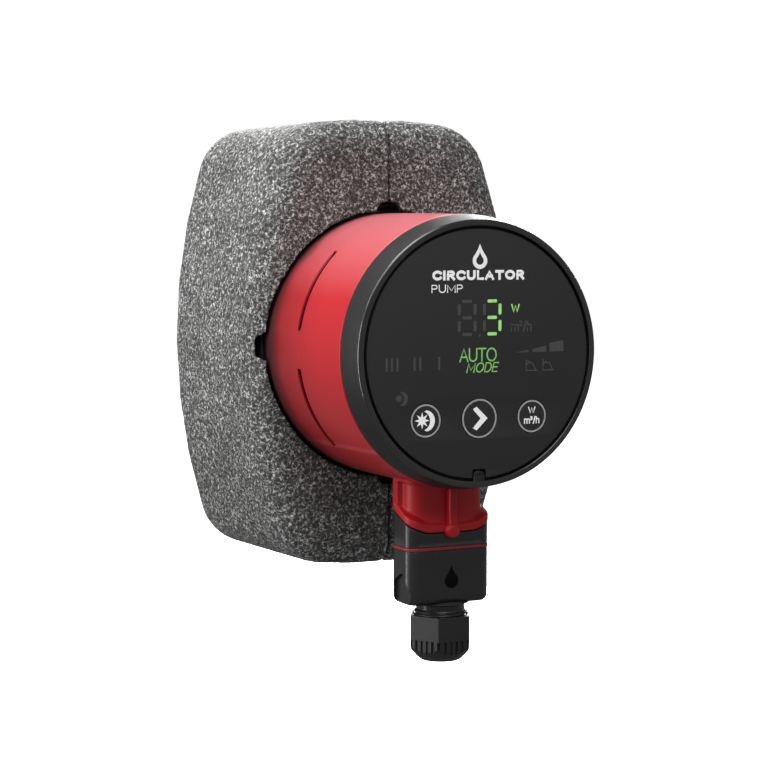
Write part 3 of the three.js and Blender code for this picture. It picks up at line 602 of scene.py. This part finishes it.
# White print with a faint painted glow from its emission, though it is no lamp.
print_white_glowing = surface("white_print_glowing", grey(0.90), 0.55, (400, 0.04), (6000, 0.001), 0.04,
                      Emission_Color=(1, 1, 1, 1), Emission_Strength=0.17)
print_grey = surface("grey_print", grey(0.42), 0.55, (400, 0.06), (6000, 0.001), 0.04)
print_dim = surface("unlit_symbol", grey(0.078), 0.50, (500, 0.10), (6000, 0.001), 0.04,
                    Specular_IOR_Level=0.28)
lit_green = glowing("lit_symbol", (0.31, 0.70, 0.19), 1.0)
lit_soft = glowing("lit_word", (0.22, 0.53, 0.13), 0.92)
foam = foam_material()
cast = surface("cast_coat", grey(0.028), 0.55, (90, 0.25), (1300, 0.10), 0.10, wear=grey(0.10), Metallic=0.15)
machined = surface("machined_thread", grey(0.16), 0.36, (200, 0.15), (3000, 0.01), 0.10,
                   wear=grey(0.40), Metallic=0.9)
inner = surface("inner_plastic", grey(0.045), 0.5, (90, 0.15), (3500, 0.01), 0.06, edge=0.2)
rubber = surface("black_rubber", grey(0.012), 0.68, (130, 0.2), (2200, 0.02), 0.08, edge=0.15)
zinc = surface("zinc_steel", (0.52, 0.53, 0.55), 0.34, (220, 0.15), (1800, 0.006), 0.12,
               edge=0.1, Metallic=1.0)

by_slot = {
    "cast_iron": cast,
    "red_drum": red,
    "black_plastic": plug_black,
    "inner_plastic": inner,
    "face": plate_black,
    "insulation_foam": foam,
    "rubber": rubber,
    "red_seal": seal_red,
    "stainless": surface("stainless", (0.60, 0.61, 0.62), 0.26, (40, 0.08), (2600, 0.004), 0.08,
                         edge=0.1, Metallic=1.0),
    "zinc_steel": zinc,
    "laminations": striped("lamination_stack", (0.34, 0.35, 0.37), (0.09, 0.09, 0.10), "Y", 0.5, 0.42, 0.03,
                           Metallic=0.9),
    "copper": striped("copper_wire", (0.72, 0.30, 0.12), (0.20, 0.06, 0.02), "Y", 0.7, 0.32, 0.10,
                      Metallic=0.9),
    "brass": surface("brass", (0.66, 0.46, 0.18), 0.28, (260, 0.12), (2400, 0.005), 0.08,
                     edge=0.1, Metallic=1.0),
    "magnet": surface("ferrite", grey(0.035), 0.52, (180, 0.2), (1900, 0.02), 0.08, edge=0.15, Metallic=0.3),
    "ceramic_shaft": surface("ceramic", (0.80, 0.77, 0.70), 0.30, (150, 0.04), (2600, 0.003), 0.05, edge=0.1),
    "carbon": surface("carbon", grey(0.02), 0.40, (260, 0.25), (2500, 0.008), 0.08, edge=0.1),
    "composite": surface("impeller_plastic", (0.55, 0.44, 0.26), 0.45, (110, 0.1), (2200, 0.01), 0.06,
                         edge=0.2),
    "board": surface("circuit_board", (0.02, 0.11, 0.045), 0.38, (420, 0.3), (1500, 0.02), 0.08, edge=0.1),
    "capacitor_sleeve": surface("capacitor_sleeve", (0.02, 0.022, 0.05), 0.3, (160, 0.1), (2600, 0.005), 0.05,
                                edge=0.1),
    "diffuser": surface("diffuser", (0.68, 0.70, 0.66), 0.45, (120, 0.05), (2600, 0.006), 0.05, edge=0.15),
}
for subpart in frame["record"]["subparts"]:
    node = frame["nodes"][subpart["node"]]
    node.data.materials.clear()
    node.data.materials.append(by_slot[subpart["material_slot"]])


# ---- camera, light and floor

def aim(obj, target):
    direction = Vector(target) - obj.location
    obj.rotation_euler = direction.to_track_quat("-Z", "Y").to_euler()


def area_light(name, location, target, size, power):
    data = bpy.data.lights.new(name, "AREA")
    data.shape = "RECTANGLE"
    data.size, data.size_y = size
    data.energy = power
    light = link(bpy.data.objects.new(name, data))
    light.location = location
    aim(light, target)


CAMERA_AT = (-0.3400, -0.7275, 0.0432)
CAMERA_FORWARD = (0.4368, 0.8964, -0.0757)
CAMERA_LENS = 96.97
FLOOR_Z = -300
FILL_BELOW, FILL_ABOVE = 0.28, 0.44
LIGHTS = [                       # name, place in metres, size in metres, power in watts
    ("sky", (-0.38, 0.14, 1.25), (0.8, 0.8), 15),
    ("upper_left", (-0.95, 0.08, 0.82), (0.6, 0.6), 5),
    ("left", (-1.20, -0.02, 0.16), (0.5, 0.8), 3.2),
    ("back", (0.60, 1.33, 0.42), (0.9, 0.8), 40),
    ("front", (-0.25, -1.15, 1.05), (1.0, 1.0), 12.5),
    ("strip", (-1.05, 0.28, -0.10), (0.12, 0.9), 5),
]


def make_stage():
    camera = link(bpy.data.objects.new("camera", bpy.data.cameras.new("camera")))
    camera.data.lens = CAMERA_LENS
    camera.data.sensor_width = 36
    camera.data.clip_start, camera.data.clip_end = 0.01, 50
    camera.location = CAMERA_AT
    aim(camera, camera.location + Vector(CAMERA_FORWARD))
    bpy.context.scene.camera = camera

    world = bpy.data.worlds.new("studio")
    bpy.context.scene.world = world
    world.use_nodes = True
    tree = world.node_tree
    tree.nodes.clear()
    seen = add(tree, "ShaderNodeBackground", {"Color": (1, 1, 1, 1), "Strength": 1.02})
    fill = add(tree, "ShaderNodeBackground")
    direction = add(tree, "ShaderNodeSeparateXYZ")
    coordinates = add(tree, "ShaderNodeTexCoord")
    tree.links.new(coordinates.outputs["Generated"], direction.inputs[0])
    strength = ranged(tree, direction.outputs["Z"], -0.6, 1.0, FILL_BELOW, FILL_ABOVE)
    tree.links.new(strength, fill.inputs["Strength"])
    path = add(tree, "ShaderNodeLightPath")
    mix = add(tree, "ShaderNodeMixShader")
    output = add(tree, "ShaderNodeOutputWorld")
    tree.links.new(path.outputs["Is Camera Ray"], mix.inputs["Fac"])
    tree.links.new(fill.outputs[0], mix.inputs[1])
    tree.links.new(seen.outputs[0], mix.inputs[2])
    tree.links.new(mix.outputs[0], output.inputs["Surface"])

    middle = (0.0, -0.04, 0.0)
    for name, location, size, power in LIGHTS:
        area_light(name, location, middle, size, power)

    floor_material, tree, principled, where = new_material(
        "pale_floor", Roughness=0.9, Emission_Color=(1, 1, 1, 1), Emission_Strength=1.1)
    cloud = noise_node(tree, where, 3.0)
    pale = mixed(tree, ranged(tree, cloud, 0.3, 0.7, 0, 1), grey(0.78), grey(0.82))
    tree.links.new(pale, principled.inputs["Base Color"])
    side = 4000
    corners = [(x * side, y * side, FLOOR_Z) for x, y in ((-1, -1), (1, -1), (1, 1), (-1, 1))]
    floor = mesh_object("floor", corners, [(0, 1, 2, 3)], floor_material)
    floor.visible_diffuse = False
    floor.visible_glossy = False

    view = bpy.context.scene.view_settings
    view.view_transform = "Standard"
    view.look = "None"
    view.exposure = 0
    view.gamma = 1


# ---- red drum and the shield over the plug

SLOT_Y, SLOT_HALF, SLOT_DEPTH = -59.0, 1.45, 2.8
SLOT_END = 4.5                   # degrees over which a slot's end rises
SLOT_ARCS = [(8, 46.5), (-46, -7.6), (133.5, 172), (187.6, 226)]    # degrees round the drum


def smoothstep(value):
    t = np.clip(value, 0, 1)
    return t * t * (3 - 2 * t)


def make_drum():
    angles = set(np.arange(0, 360, 1.5))
    for start, end in SLOT_ARCS:
        for edge in (start, end):
            angles |= {(edge + step) % 360 for step in (-0.9, -0.3, 0, 0.3, 0.9)}
    angles = np.array(sorted(angles))
    in_slot = np.zeros(len(angles))
    for start, end in SLOT_ARCS:
        turn = (angles - start) % 360
        inside = np.where(turn < (end - start) % 360, np.minimum(turn, (end - start) % 360 - turn), 0)
        in_slot = np.maximum(in_slot, np.sin(np.clip(inside / SLOT_END, 0, 1) * math.pi / 2))
    corners = [(45.5, -93.2, 0.2), (47.9, -93.2, 0.45), (48.38, -61.2, 0), (48.5, -27, 0.6), (39.5, -27, 0.3)]
    outer = rounded(corners, 0.3, closed=False)
    inner = [(39.5, -81), (14, -81), (14, -84), (45.5, -84)]
    wall = [(0.3, 0.0), (0.12, 0.015), (0.02, 0.1), (0.0, 0.3), (-0.02, 0.9), (-0.1, 0.98), (-0.3, 1.0)]
    slot_rows = [(-SLOT_HALF - out, depth) for out, depth in wall]
    slot_rows += [(SLOT_HALF + out, depth) for out, depth in reversed(wall)]
    rows = [(r, y, 0.0) for r, y in outer if y < -61 or r < 46]
    fore = [row for row in rows if row[1] < -61]
    aft = [(r, y, 0.0) for r, y in outer if y > -57]
    sink = [(48.42, SLOT_Y + offset, depth * SLOT_DEPTH) for offset, depth in slot_rows]
    profile = fore + sink + aft + [(r, y, 0.0) for r, y in inner]
    c, s = np.cos(np.radians(angles)), np.sin(np.radians(angles))
    rings = []
    for radius, y, depth in profile:
        r = radius - depth * in_slot
        rings.append(np.stack([r * c, np.full(len(angles), y), r * s], -1))
    drum = loft("motor_drum", rings, red, wrap=True)
    drum.data.materials.append(slot_painted_shade)
    # Faces deep in the slots take the painted shade.
    for polygon in drum.data.polygons:
        x, y, z = polygon.center / MM
        if abs(y - SLOT_Y) < SLOT_HALF and math.hypot(x, z) < 48.15:
            polygon.material_index = 1
    place(drum, "pump", "red_drum", "motor_housing")


def shield_edge(run):
    """Height of the shield's lower edge at a run round the plug: level in front, rising at the sides."""
    rise = 0.42 * (run - 10)
    return -64.2 + (rise + np.sqrt(rise ** 2 + 0.35)) / 2


def runs(outline):
    """How far each point of a section is from the middle of its front, measured round the outline."""
    steps = np.linalg.norm(np.diff(outline, axis=0, append=outline[:1]), axis=1)
    run = np.concatenate([[0], np.cumsum(steps)[:-1]])
    return np.minimum(run, steps.sum() - run)


def make_shield():
    counts = (14, 16, 26, 10, 5)
    outer = section(16.6, 8.25, 4.5, counts)
    cavity = section(13.2, 5.3, 2.0, counts)
    middle = np.array([0, PLUG_Y])
    x, y = outer.T
    reach = outer - middle
    across, along = np.abs(reach.T)
    core = middle + reach / ((across / 14.7) ** 3 + (along / 7.4) ** 3)[:, None] ** (1 / 3)
    inward = (core - outer) * smoothstep((-74.2 - y) / 0.7 + 0.5)[:, None]
    shrink = (middle - outer) / np.linalg.norm(reach, axis=1)[:, None]
    low = shield_edge(runs(outer))
    high = -np.sqrt(DRUM_R ** 2 - x ** 2) - 0.9

    rings = [at_height(cavity, np.full(len(x), -50.5)), at_height(cavity, low + 0.4)]
    lip = [(0.5, 0), (0.15, 0.12), (0, 0.45), (0, 1.0), (0, 1.6), (0, 2.2), (0.1, 2.5), (0.3, 2.75)]
    for inset, rise in lip:
        rings.append(at_height(outer + shrink * inset, low + rise))
    for share, rise in [(0.35, 2.95), (0.65, 3.15), (0.88, 3.45), (1.0, 3.95)]:
        rings.append(at_height(outer + inward * share + shrink * 0.3 * (1 - share), low + rise))
    for step in np.linspace(0.1, 0.9, 9):
        rings.append(at_height(outer + inward, (low + 3.95) * (1 - step) + (high - 0.5) * step))
    for share, rise in [(1.0, -0.5), (0.9, -0.25), (0.6, -0.08), (0.1, 0.02), (0, 0.3), (0, 1.5)]:
        rings.append(at_height(outer + inward * share, high + rise))
    rings.append(at_height(outer, -42.5))
    place(loft("plug_shield", rings, red_matt, sharp=50), "pump", "red_drum")

    rib = []
    for z, inset in [(-45.0, 0), (-55.0, 0), (-62.0, 0), (-63.6, 0.1)]:
        outline = section(1.5 - inset, 2.4 - inset, 0.5, (3, 5, 6, 5, 3)) + np.array([0, -7.7])
        rib.append(at_height(outline, z))
    dome = [(0, -85.95), (1.3, -85.9), (2.1, -85.6), (2.6, -85.0), (2.78, -84.2), (2.85, -83.05), (0, -83.05)]
    parts = [loft("rib", rib, red_matt), lathe("knob", dome, red_matt, 64, centre=(0, 0, -63.6))]
    place(remeshed("shield_rib", parts, 0.16, 6, red_matt), "pump", "red_drum")
    for part in parts:
        bpy.data.objects.remove(part)


# ---- control head

def make_ring():
    profile = rounded([
        (43.9, -104, 0.35), (46, -104, 0.7), (47.9, -93.5, 0.35), (45.1, -93.5, 0.2), (45.1, -90.5, 0.2),
        (43.8, -90.5, 0.2), (43.8, -99.3, 0.2), (41.2, -99.3, 0.2), (41.2, -101.3, 0.2), (43.9, -101.3, 0.15),
    ], 0.3, steps=5)
    ring = lathe("head_ring", profile, ring_black, 240, wrap=True)
    ring.data.materials.append(ring_gloss)
    for polygon in ring.data.polygons:
        if polygon.center.y < -103.15 * MM:
            polygon.material_index = 1
    place(ring, "pump", "black_plastic", "control_ring")
    tab = rounded([(-2.15, -45), (2.15, -45), (2.15, -40.3, 2.1), (-2.15, -40.3, 2.1)], 0.2, 8)
    place(face_shape("ring_tab", [tab], ring_black, -103.65, 2.6, 0.2), "pump", "black_plastic")
    ribs = [bar((x, -43.8), (x, -41.0), 0.42, 0.4) for x in (-1.35, -0.45, 0.45, 1.35)]
    place(face_shape("ring_tab_ribs", ribs, ring_black, -103.92, 0.4, 0.08), "pump", "black_plastic")


def printed(name, loops, material, body="pump"):
    place(face_shape(name, loops, material, PRINT_Y), body, "face")


def make_plate():
    half, top, r = 2.75, -39.7, 42.8
    start = math.degrees(math.asin(half / r))
    corners = [(-half, -r + 0.6), (-half, top, 2.6), (half, top, 2.6), (half, -r + 0.6)]
    notch = rounded(corners, 0, 8, closed=False)
    outline = arc((0, 0), r, -90 + start, 270 - start, 240) + notch
    holes = [arc((x, BUTTON_Z), radius + 0.25, 0, 357, 96) for x, radius in BUTTONS.values()]
    plate = face_shape("front_plate", [outline, *holes], plate_black, FACE_Y, 2.2, 0.14)
    place(plate, "pump", "face", "face_plate")


def make_buttons():
    for side, (x, radius) in BUTTONS.items():
        profile = rounded([
            (0, FACE_Y, 0), (radius, FACE_Y, 0.14), (radius, -101.4, 0.05), (radius + 0.7, -101.4, 0.05),
            (radius + 0.7, -100.6, 0.1), (2, -100.6, 0.1), (2, -98.9, 0.1), (0, -98.9, 0),
        ], 0.1, closed=False)
        cap = lathe(f"cap_{side}", profile, plate_black, 120, centre=(x, 0, BUTTON_Z))
        place(cap, f"button_{side}", "face", f"button_{side}")
        line = [arc((x, BUTTON_Z), r, 0, 357, 120) for r in (radius - 0.02, radius - 0.62)]
        printed(f"cap_ring_{side}", line, print_grey, f"button_{side}")
    arrow = [(-2.55, -18.95), (-1.1, -18.1), (3.2, -22.2), (-1.1, -26.3), (-2.55, -25.45), (0.45, -22.2)]
    printed("cap_arrow", [rounded(arrow, 0.1)], print_white_glowing, "button_centre")
    sun = star((-22.1, -22.1), 2.85, 1.25, 8)
    moon = crescent((-20.9, -22.2), 3.65, 1.5, 3.35)
    printed("cap_sun", [sun], print_white_glowing, "button_left")
    printed("cap_moon", [moon], print_white_glowing, "button_left")
    upper = face_text("cap_unit_upper", "W", (19.2, 22.2, -21.3, -18.9), 0.5, print_white_glowing)
    lower = face_text("cap_unit_lower", "m3/h", (17.6, 23.8, -24.8, -22.3), 0.45, print_white_glowing)
    for unit in (upper, lower):
        place(unit, "button_right", "face")


# Side and level of each bar of a seven-segment figure.
SEGMENTS = {"a": (0, 1), "b": (1, 0.5), "c": (1, -0.5), "d": (0, -1),
            "e": (-1, -0.5), "f": (-1, 0.5), "g": (0, 0)}


def digit(centre, names):
    """Rounded bars of a seven-segment figure."""
    loops = []
    for name in names:
        side, level = SEGMENTS[name]
        x = centre[0] + 3.05 * side
        z = centre[1] + 5.65 * level
        if side:
            loops.append(bar((x, z - 1.9), (x, z + 1.9), 1.15))
        else:
            loops.append(bar((x - 1.85, z), (x + 1.85, z), 1.1))
    return loops


def make_display():
    printed("display_figure", digit((4.85, 12.45), "abcdg"), lit_green)
    dim = digit((-4.9, 12.45), "abcdefg") + digit((4.85, 12.45), "ef") + [arc((0.05, 6.35), 0.45, 0, 345, 20)]
    for left, gap, count in ((-35.45, 2.0, 3), (-25.0, 2.2, 2), (-15.6, 0, 1)):
        dim += [bar((left + gap * i, -5.1), (left + gap * i, -0.5), 0.75, 0.2) for i in range(count)]
    for x0, x1, low, high in ((14.4, 19.2, 0.08, 0.8), (20.9, 26.4, 1.1, 2.2), (27.6, 33.3, 3.0, 3.9)):
        dim.append([(x0, 0.1), (x1, 0.1), (x1, 0.1 + high), (x0, 0.1 + low)])
    printed("display_unlit", dim, print_dim)
    curves = []
    sloping, level = [(0.4, 3.4), (2.6, 2.4), (3.7, 0.3)], [(0.4, 2.6), (2.6, 2.6), (3.7, 0.3)]
    for x, drawn in ((18.4, sloping), (25.1, level)):
        curves.append([(x, -2.6), (x, -6.3), (x + 4.2, -6.3)])
        curves.append([(x + a, -6.3 + b) for a, b in drawn])
        curves.append([(x, -4.6), (x + 1.2, -3.2)])
    place(face_strokes("curve_symbols", curves, 0.42, print_dim), "pump", "face")
    printed("night_star", [star((-30.9, -14.3), 1.6, 0.8, 8)], print_dim)
    printed("night_moon", [crescent((-30.0, -14.4), 2.5, 1.1, 2.25)], print_dim)
    words = [
        ("unit_watt", "W", (12.3, 15.7, 13.9, 16.9), 0.62, lit_green, 0.2, 0.0),
        ("mode_auto", "AUTO", (-7.9, 6.7, -2.7, 2.1), 0.52, lit_soft, 0.16, 0.0),
        ("mode_word", "MODE", (-5.2, 7.6, -6.4, -2.9), 0.46, lit_soft, 0.24, 0.25),
        ("unit_flow", "m3/h", (12.2, 20.5, 7.4, 11.0), 0.50, print_dim, 0.2, 0.0),
        ("title_upper", "CIRCULATOR", (-18.3, 17.4, 25.3, 28.7), 0.98, print_white_glowing, 0.42, 0.0),
        ("title_lower", "PUMP", (-18.6, -6.6, 21.1, 23.9), 0.38, print_white_glowing, 0.26, 0.0),
    ]
    for name, text, box, width, material, gap, slant in words:
        place(face_text(name, text, box, width, material, gap, slant), "pump", "face")
    printed("title_drop", [drop((0, 33.4), 8.6), drop((0, 32.7), 4.4)], print_white_glowing)


# ---- plug, band, spigot and gland nut

def make_plug():
    counts = (14, 12, 16, 10, 5)
    outer = section(16.5, 8.0, 4.5, counts)
    inside = section(14.6, 6.4, 3.0, counts)
    top = shield_edge(runs(outer)) - 0.4
    cover_low = BAND_TOP + 0.05
    eased = section(16.35, 7.85, 4.35, counts)
    rings = [at_height(inside, cover_low), at_height(eased, cover_low), at_height(outer, cover_low + 0.15)]
    for step in (0.2, 0.4, 0.6, 0.8):
        rings.append(at_height(outer, (cover_low + 0.15) * (1 - step) + (top - 0.15) * step))
    rings += [at_height(outer, top - 0.15), at_height(eased, top), at_height(inside, top)]
    place(loft("plug_upper", rings, plug_black, wrap=True), "plug", "black_plastic", "plug_cover")

    band_counts = (8, 12, 8, 10, 5)
    rows = [(-1.9, -69.4), (-0.1, -69.38), (0.12, -69.5), (0.2, -69.75),
            (0.2, -70.3), (0.12, -70.55), (-0.1, -70.67), (-1.9, -70.65)]
    band = [at_height(section(16.5 + grow, 8.0 + grow, 4.5 + grow, band_counts), z) for grow, z in rows]
    place(loft("plug_band", band, seal_red, wrap=True), "plug", "red_seal", "plug_seal")

    rows = [(1.9, -70.75), (0.12, -70.75), (0, -70.9), (0, -75), (0, -80), (0, -84), (0, -87.6)]
    rows += [(2.6 * (1 - math.cos(a)), -87.6 - 2.6 * math.sin(a)) for a in np.linspace(0, math.pi / 2, 9)[1:]]
    body = []
    for inset, z in rows:
        body.append(at_height(section(16.5 - inset, 8.0 - inset, max(4.5 - inset, 1.6), counts), z))
    lower = loft("plug_lower", body, plug_black)
    wedge = np.array([[-78.4, -79], [-76, -79], [-71, -82], [-71, -92], [-81.8, -92], [-82, -87.2]])
    for side in (-1, 1):
        near, far = 15.4 * side, 18 * side
        rings = [np.column_stack([np.full(6, x), wedge]) for x in (near, far)]
        cut(lower, loft("wedge", rings, plug_black), plug_black)
    place(lower, "plug", "black_plastic", "plug_body")
    mark = face_shape("plug_drop", [drop((0.3, -80.3), 8.2)], deep_black, -83.05, 0.3, 0.02)
    place(mark, "plug", "black_plastic")

    corners = [(6.6, -89.5, 0), (10.2, -90.2, 0), (8.75, -90.6, 0.5), (8.6, -93.0, 0.3), (6.6, -93.1, 0)]
    collar = rounded(corners, 0.3, closed=False)
    place(lathe("plug_collar", collar, plug_black, 96, "z", PLUG_AXIS, wrap=True), "plug", "black_plastic")
    thread = threaded("plug_thread", 8.75, 0.8, -104.5, -92.6, 1.5, 6.6, PLUG_AXIS, plug_black)
    place(thread, "plug", "black_plastic")


def threaded(name, root, height, low, high, pitch, bore, centre, material, sides=96):
    """A tube with a helical ridge outside, which fades out at both ends."""
    rows = int((high - low) / pitch * 12)
    a = np.linspace(0, 2 * math.pi, sides, endpoint=False)
    rings = [circle(bore, low, sides, "z", centre)]
    for z in np.linspace(low, high, rows):
        phase = (z / pitch - a / (2 * math.pi)) % 1
        ridge = np.clip(1.35 - np.abs(phase - 0.5) * 2 * 1.6, 0, 1) ** 0.8
        fade = smoothstep((z - low) / 0.8) * smoothstep((high - z) / 0.8)
        r = root + height * ridge * fade
        rings.append(circle(r, z, sides, "z", centre))
    rings.append(circle(bore, high, sides, "z", centre))
    return loft(name, rings, material, wrap=True)


def soft_min(a, b, width):
    """The lesser of two values, eased over a width where they meet."""
    share = np.clip(0.5 + 0.5 * (b - a) / width, 0, 1)
    return b * (1 - share) + a * share - width * share * (1 - share)


def make_gland_nut():
    sides, top, bottom = 360, -94.6, -111.1
    a = np.linspace(0, 2 * math.pi, sides, endpoint=False)
    hexagon = soft_min(10.4 / np.cos(a % (math.pi / 3) - math.pi / 6), np.full(sides, 12.0), 0.2)
    groove = smoothstep(np.cos(a * 30) / 0.4)
    rows = [top, top - 0.12, top - 0.35, top - 0.8, -97, -100, -102.6, -103.2, -103.35, -103.5, -103.65]
    rows += list(np.arange(-104.2, -110.6, -0.3)) + [-110.7, -110.85, -111.0, bottom]
    envelope = ([bottom, -110.95, -110.5, -109.6, -105.9, top - 0.5, top],
                [6.4, 7.1, 7.7, 8.7, 12.0, 13.4, 11.6])
    rings = []
    for z in rows:
        cone = np.interp(z, envelope[0], envelope[1])
        cut_in = 0.75 * groove * smoothstep((-103.25 - z) / 0.35)
        r = soft_min(hexagon - cut_in, np.full(sides, cone), 0.35)
        rings.append(circle(r, z, sides, "z"))
    bore = [(4.6, bottom), (4.25, -110.9), (4.2, -110.4), (4.2, -109.4),
            (8.4, -108.6), (9.9, -107.2), (9.9, top)]
    for radius, z in bore:
        rings.append(circle(radius, z, sides, "z"))
    rings = np.array(rings) + np.array([0, PLUG_Y, 0])
    place(loft("hex_nut", rings, nut_black, wrap=True), "gland_nut", "black_plastic", "gland_nut")


def make_gland_inside():
    profile = rounded([(4.2, -104.3), (6.3, -104.3), (6.3, -96), (4.2, -96)], 0.5)
    seal = lathe("cable_seal", profile, rubber, 96, "z", PLUG_AXIS, wrap=True)
    place(seal, "plug", "rubber", "gland_seal")
    profile = rounded([(4.6, -108.2), (8.2, -108.2), (8.2, -106.4), (4.6, -106.4)], 0.25)
    washer = lathe("slip_ring", profile, inner, 96, "z", PLUG_AXIS, wrap=True)
    place(washer, "gland_slide", "inner_plastic", "gland_ring")


# ---- insulation shells

COARSE, FINE = 620.0, 1500.0     # unevenness of the foam's skin, in waves per metre


def make_shell(side):
    """The CAD shell with softened edges and a slightly uneven skin."""
    node = frame["nodes"][f"insulation_{side}"]
    shell = remeshed(f"foam_shell_{side}", [node], 0.85, 3, foam)
    mesh = shell.data
    co = points_of(mesh)
    normals = np.empty(co.size, np.float32)
    mesh.vertices.foreach_get("normal", normals)
    lift = np.array([noise.noise(Vector(p) * COARSE) + 0.6 * noise.noise(Vector(p) * FINE) for p in co])
    co += normals.reshape(-1, 3) * (lift * 0.10 * MM - 0.05 * MM)[:, None]
    move_points(mesh, co)
    place(shell, f"shell_{side}", "insulation_foam", f"insulation_{side}")


# ---- pump housing and its screws

THREAD_ROOT_R, THREAD_HEIGHT, THREAD_PITCH, PORT_BORE_R = 22.4, 1.5, 2.309, 15.0


def make_housing():
    corners = [(0, -25, 0), (48.4, -25, 0.5), (48.4, -19, 0.8), (38, -19, 2.5), (37.5, 19, 7), (21, 29.8, 3),
               (0, 29.8, 0)]
    volute = rounded(corners, 1, closed=False)
    parts = [lathe("volute", volute, cast, 160)]
    for sign in (1, -1):
        port = [(15.5, 22), (21.6, 22), (21.6, 46.5), (22.6, 47.6), (22.6, 49), (15.5, 49)]
        port = [(r, z * sign) for r, z in port]
        parts.append(lathe("port", port, cast, 96, "z", wrap=True))
    for x in (-1, 1):
        corners = rounded([(10 * x, -9), (24 * x, -9), (24 * x, 9), (10 * x, 9)], 2)
        rings = [[(px, y, pz) for px, pz in corners] for y in (20, 30)]
        parts.append(loft("boss", rings, cast))
    housing = remeshed("pump_casting", parts, 0.8, 4, cast)
    for part in parts:
        bpy.data.objects.remove(part)
    place(housing, "pump", "cast_iron", "pump_housing")
    for name, low, high in (("outlet_thread", 47.2, 65.0), ("inlet_thread", -65.0, -47.2)):
        thread = threaded(name, THREAD_ROOT_R, THREAD_HEIGHT, low, high, THREAD_PITCH, PORT_BORE_R, (0, 0, 0),
                          machined, 144)
        place(thread, "pump", "cast_iron")


SCREW_CIRCLE_R = 44
HEAD_TOP_Y = -13.9


def make_screws():
    sides = 48
    a = np.linspace(0, 2 * math.pi, sides, endpoint=False)
    hexagon = 2.31 * math.cos(math.pi / 6) / np.cos(a % (math.pi / 3) - math.pi / 6)
    for i in range(4):
        turn = math.radians(45 + 90 * i)
        centre = np.array([SCREW_CIRCLE_R * math.cos(turn), 0, SCREW_CIRCLE_R * math.sin(turn)])
        rings = [circle(0.01, HEAD_TOP_Y - 2.9, sides)]
        for grow, y in [(1, -16.6), (1, -14.1), (1.06, HEAD_TOP_Y)]:
            rings.append(circle(grow * hexagon, y, sides))
        profile = [(3.75, HEAD_TOP_Y), (4.15, -14.1), (4.25, -14.5), (4.25, -18.6), (2.5, -18.7),
                   (2.5, -39.6), (2.1, -40.0)]
        rings += [circle(r, y, sides) for r, y in profile]
        screw = loft(f"socket_screw_{i + 1}", np.array(rings) + centre, zinc)
        place(screw, "pump", "zinc_steel", f"motor_screw_{i + 1}")


for make in (make_stage, make_drum, make_shield, make_ring, make_plate, make_buttons, make_display, make_plug,
             make_gland_nut, make_gland_inside):
    make()
for side in ("left", "right"):
    make_shell(side)
make_housing()
make_screws()
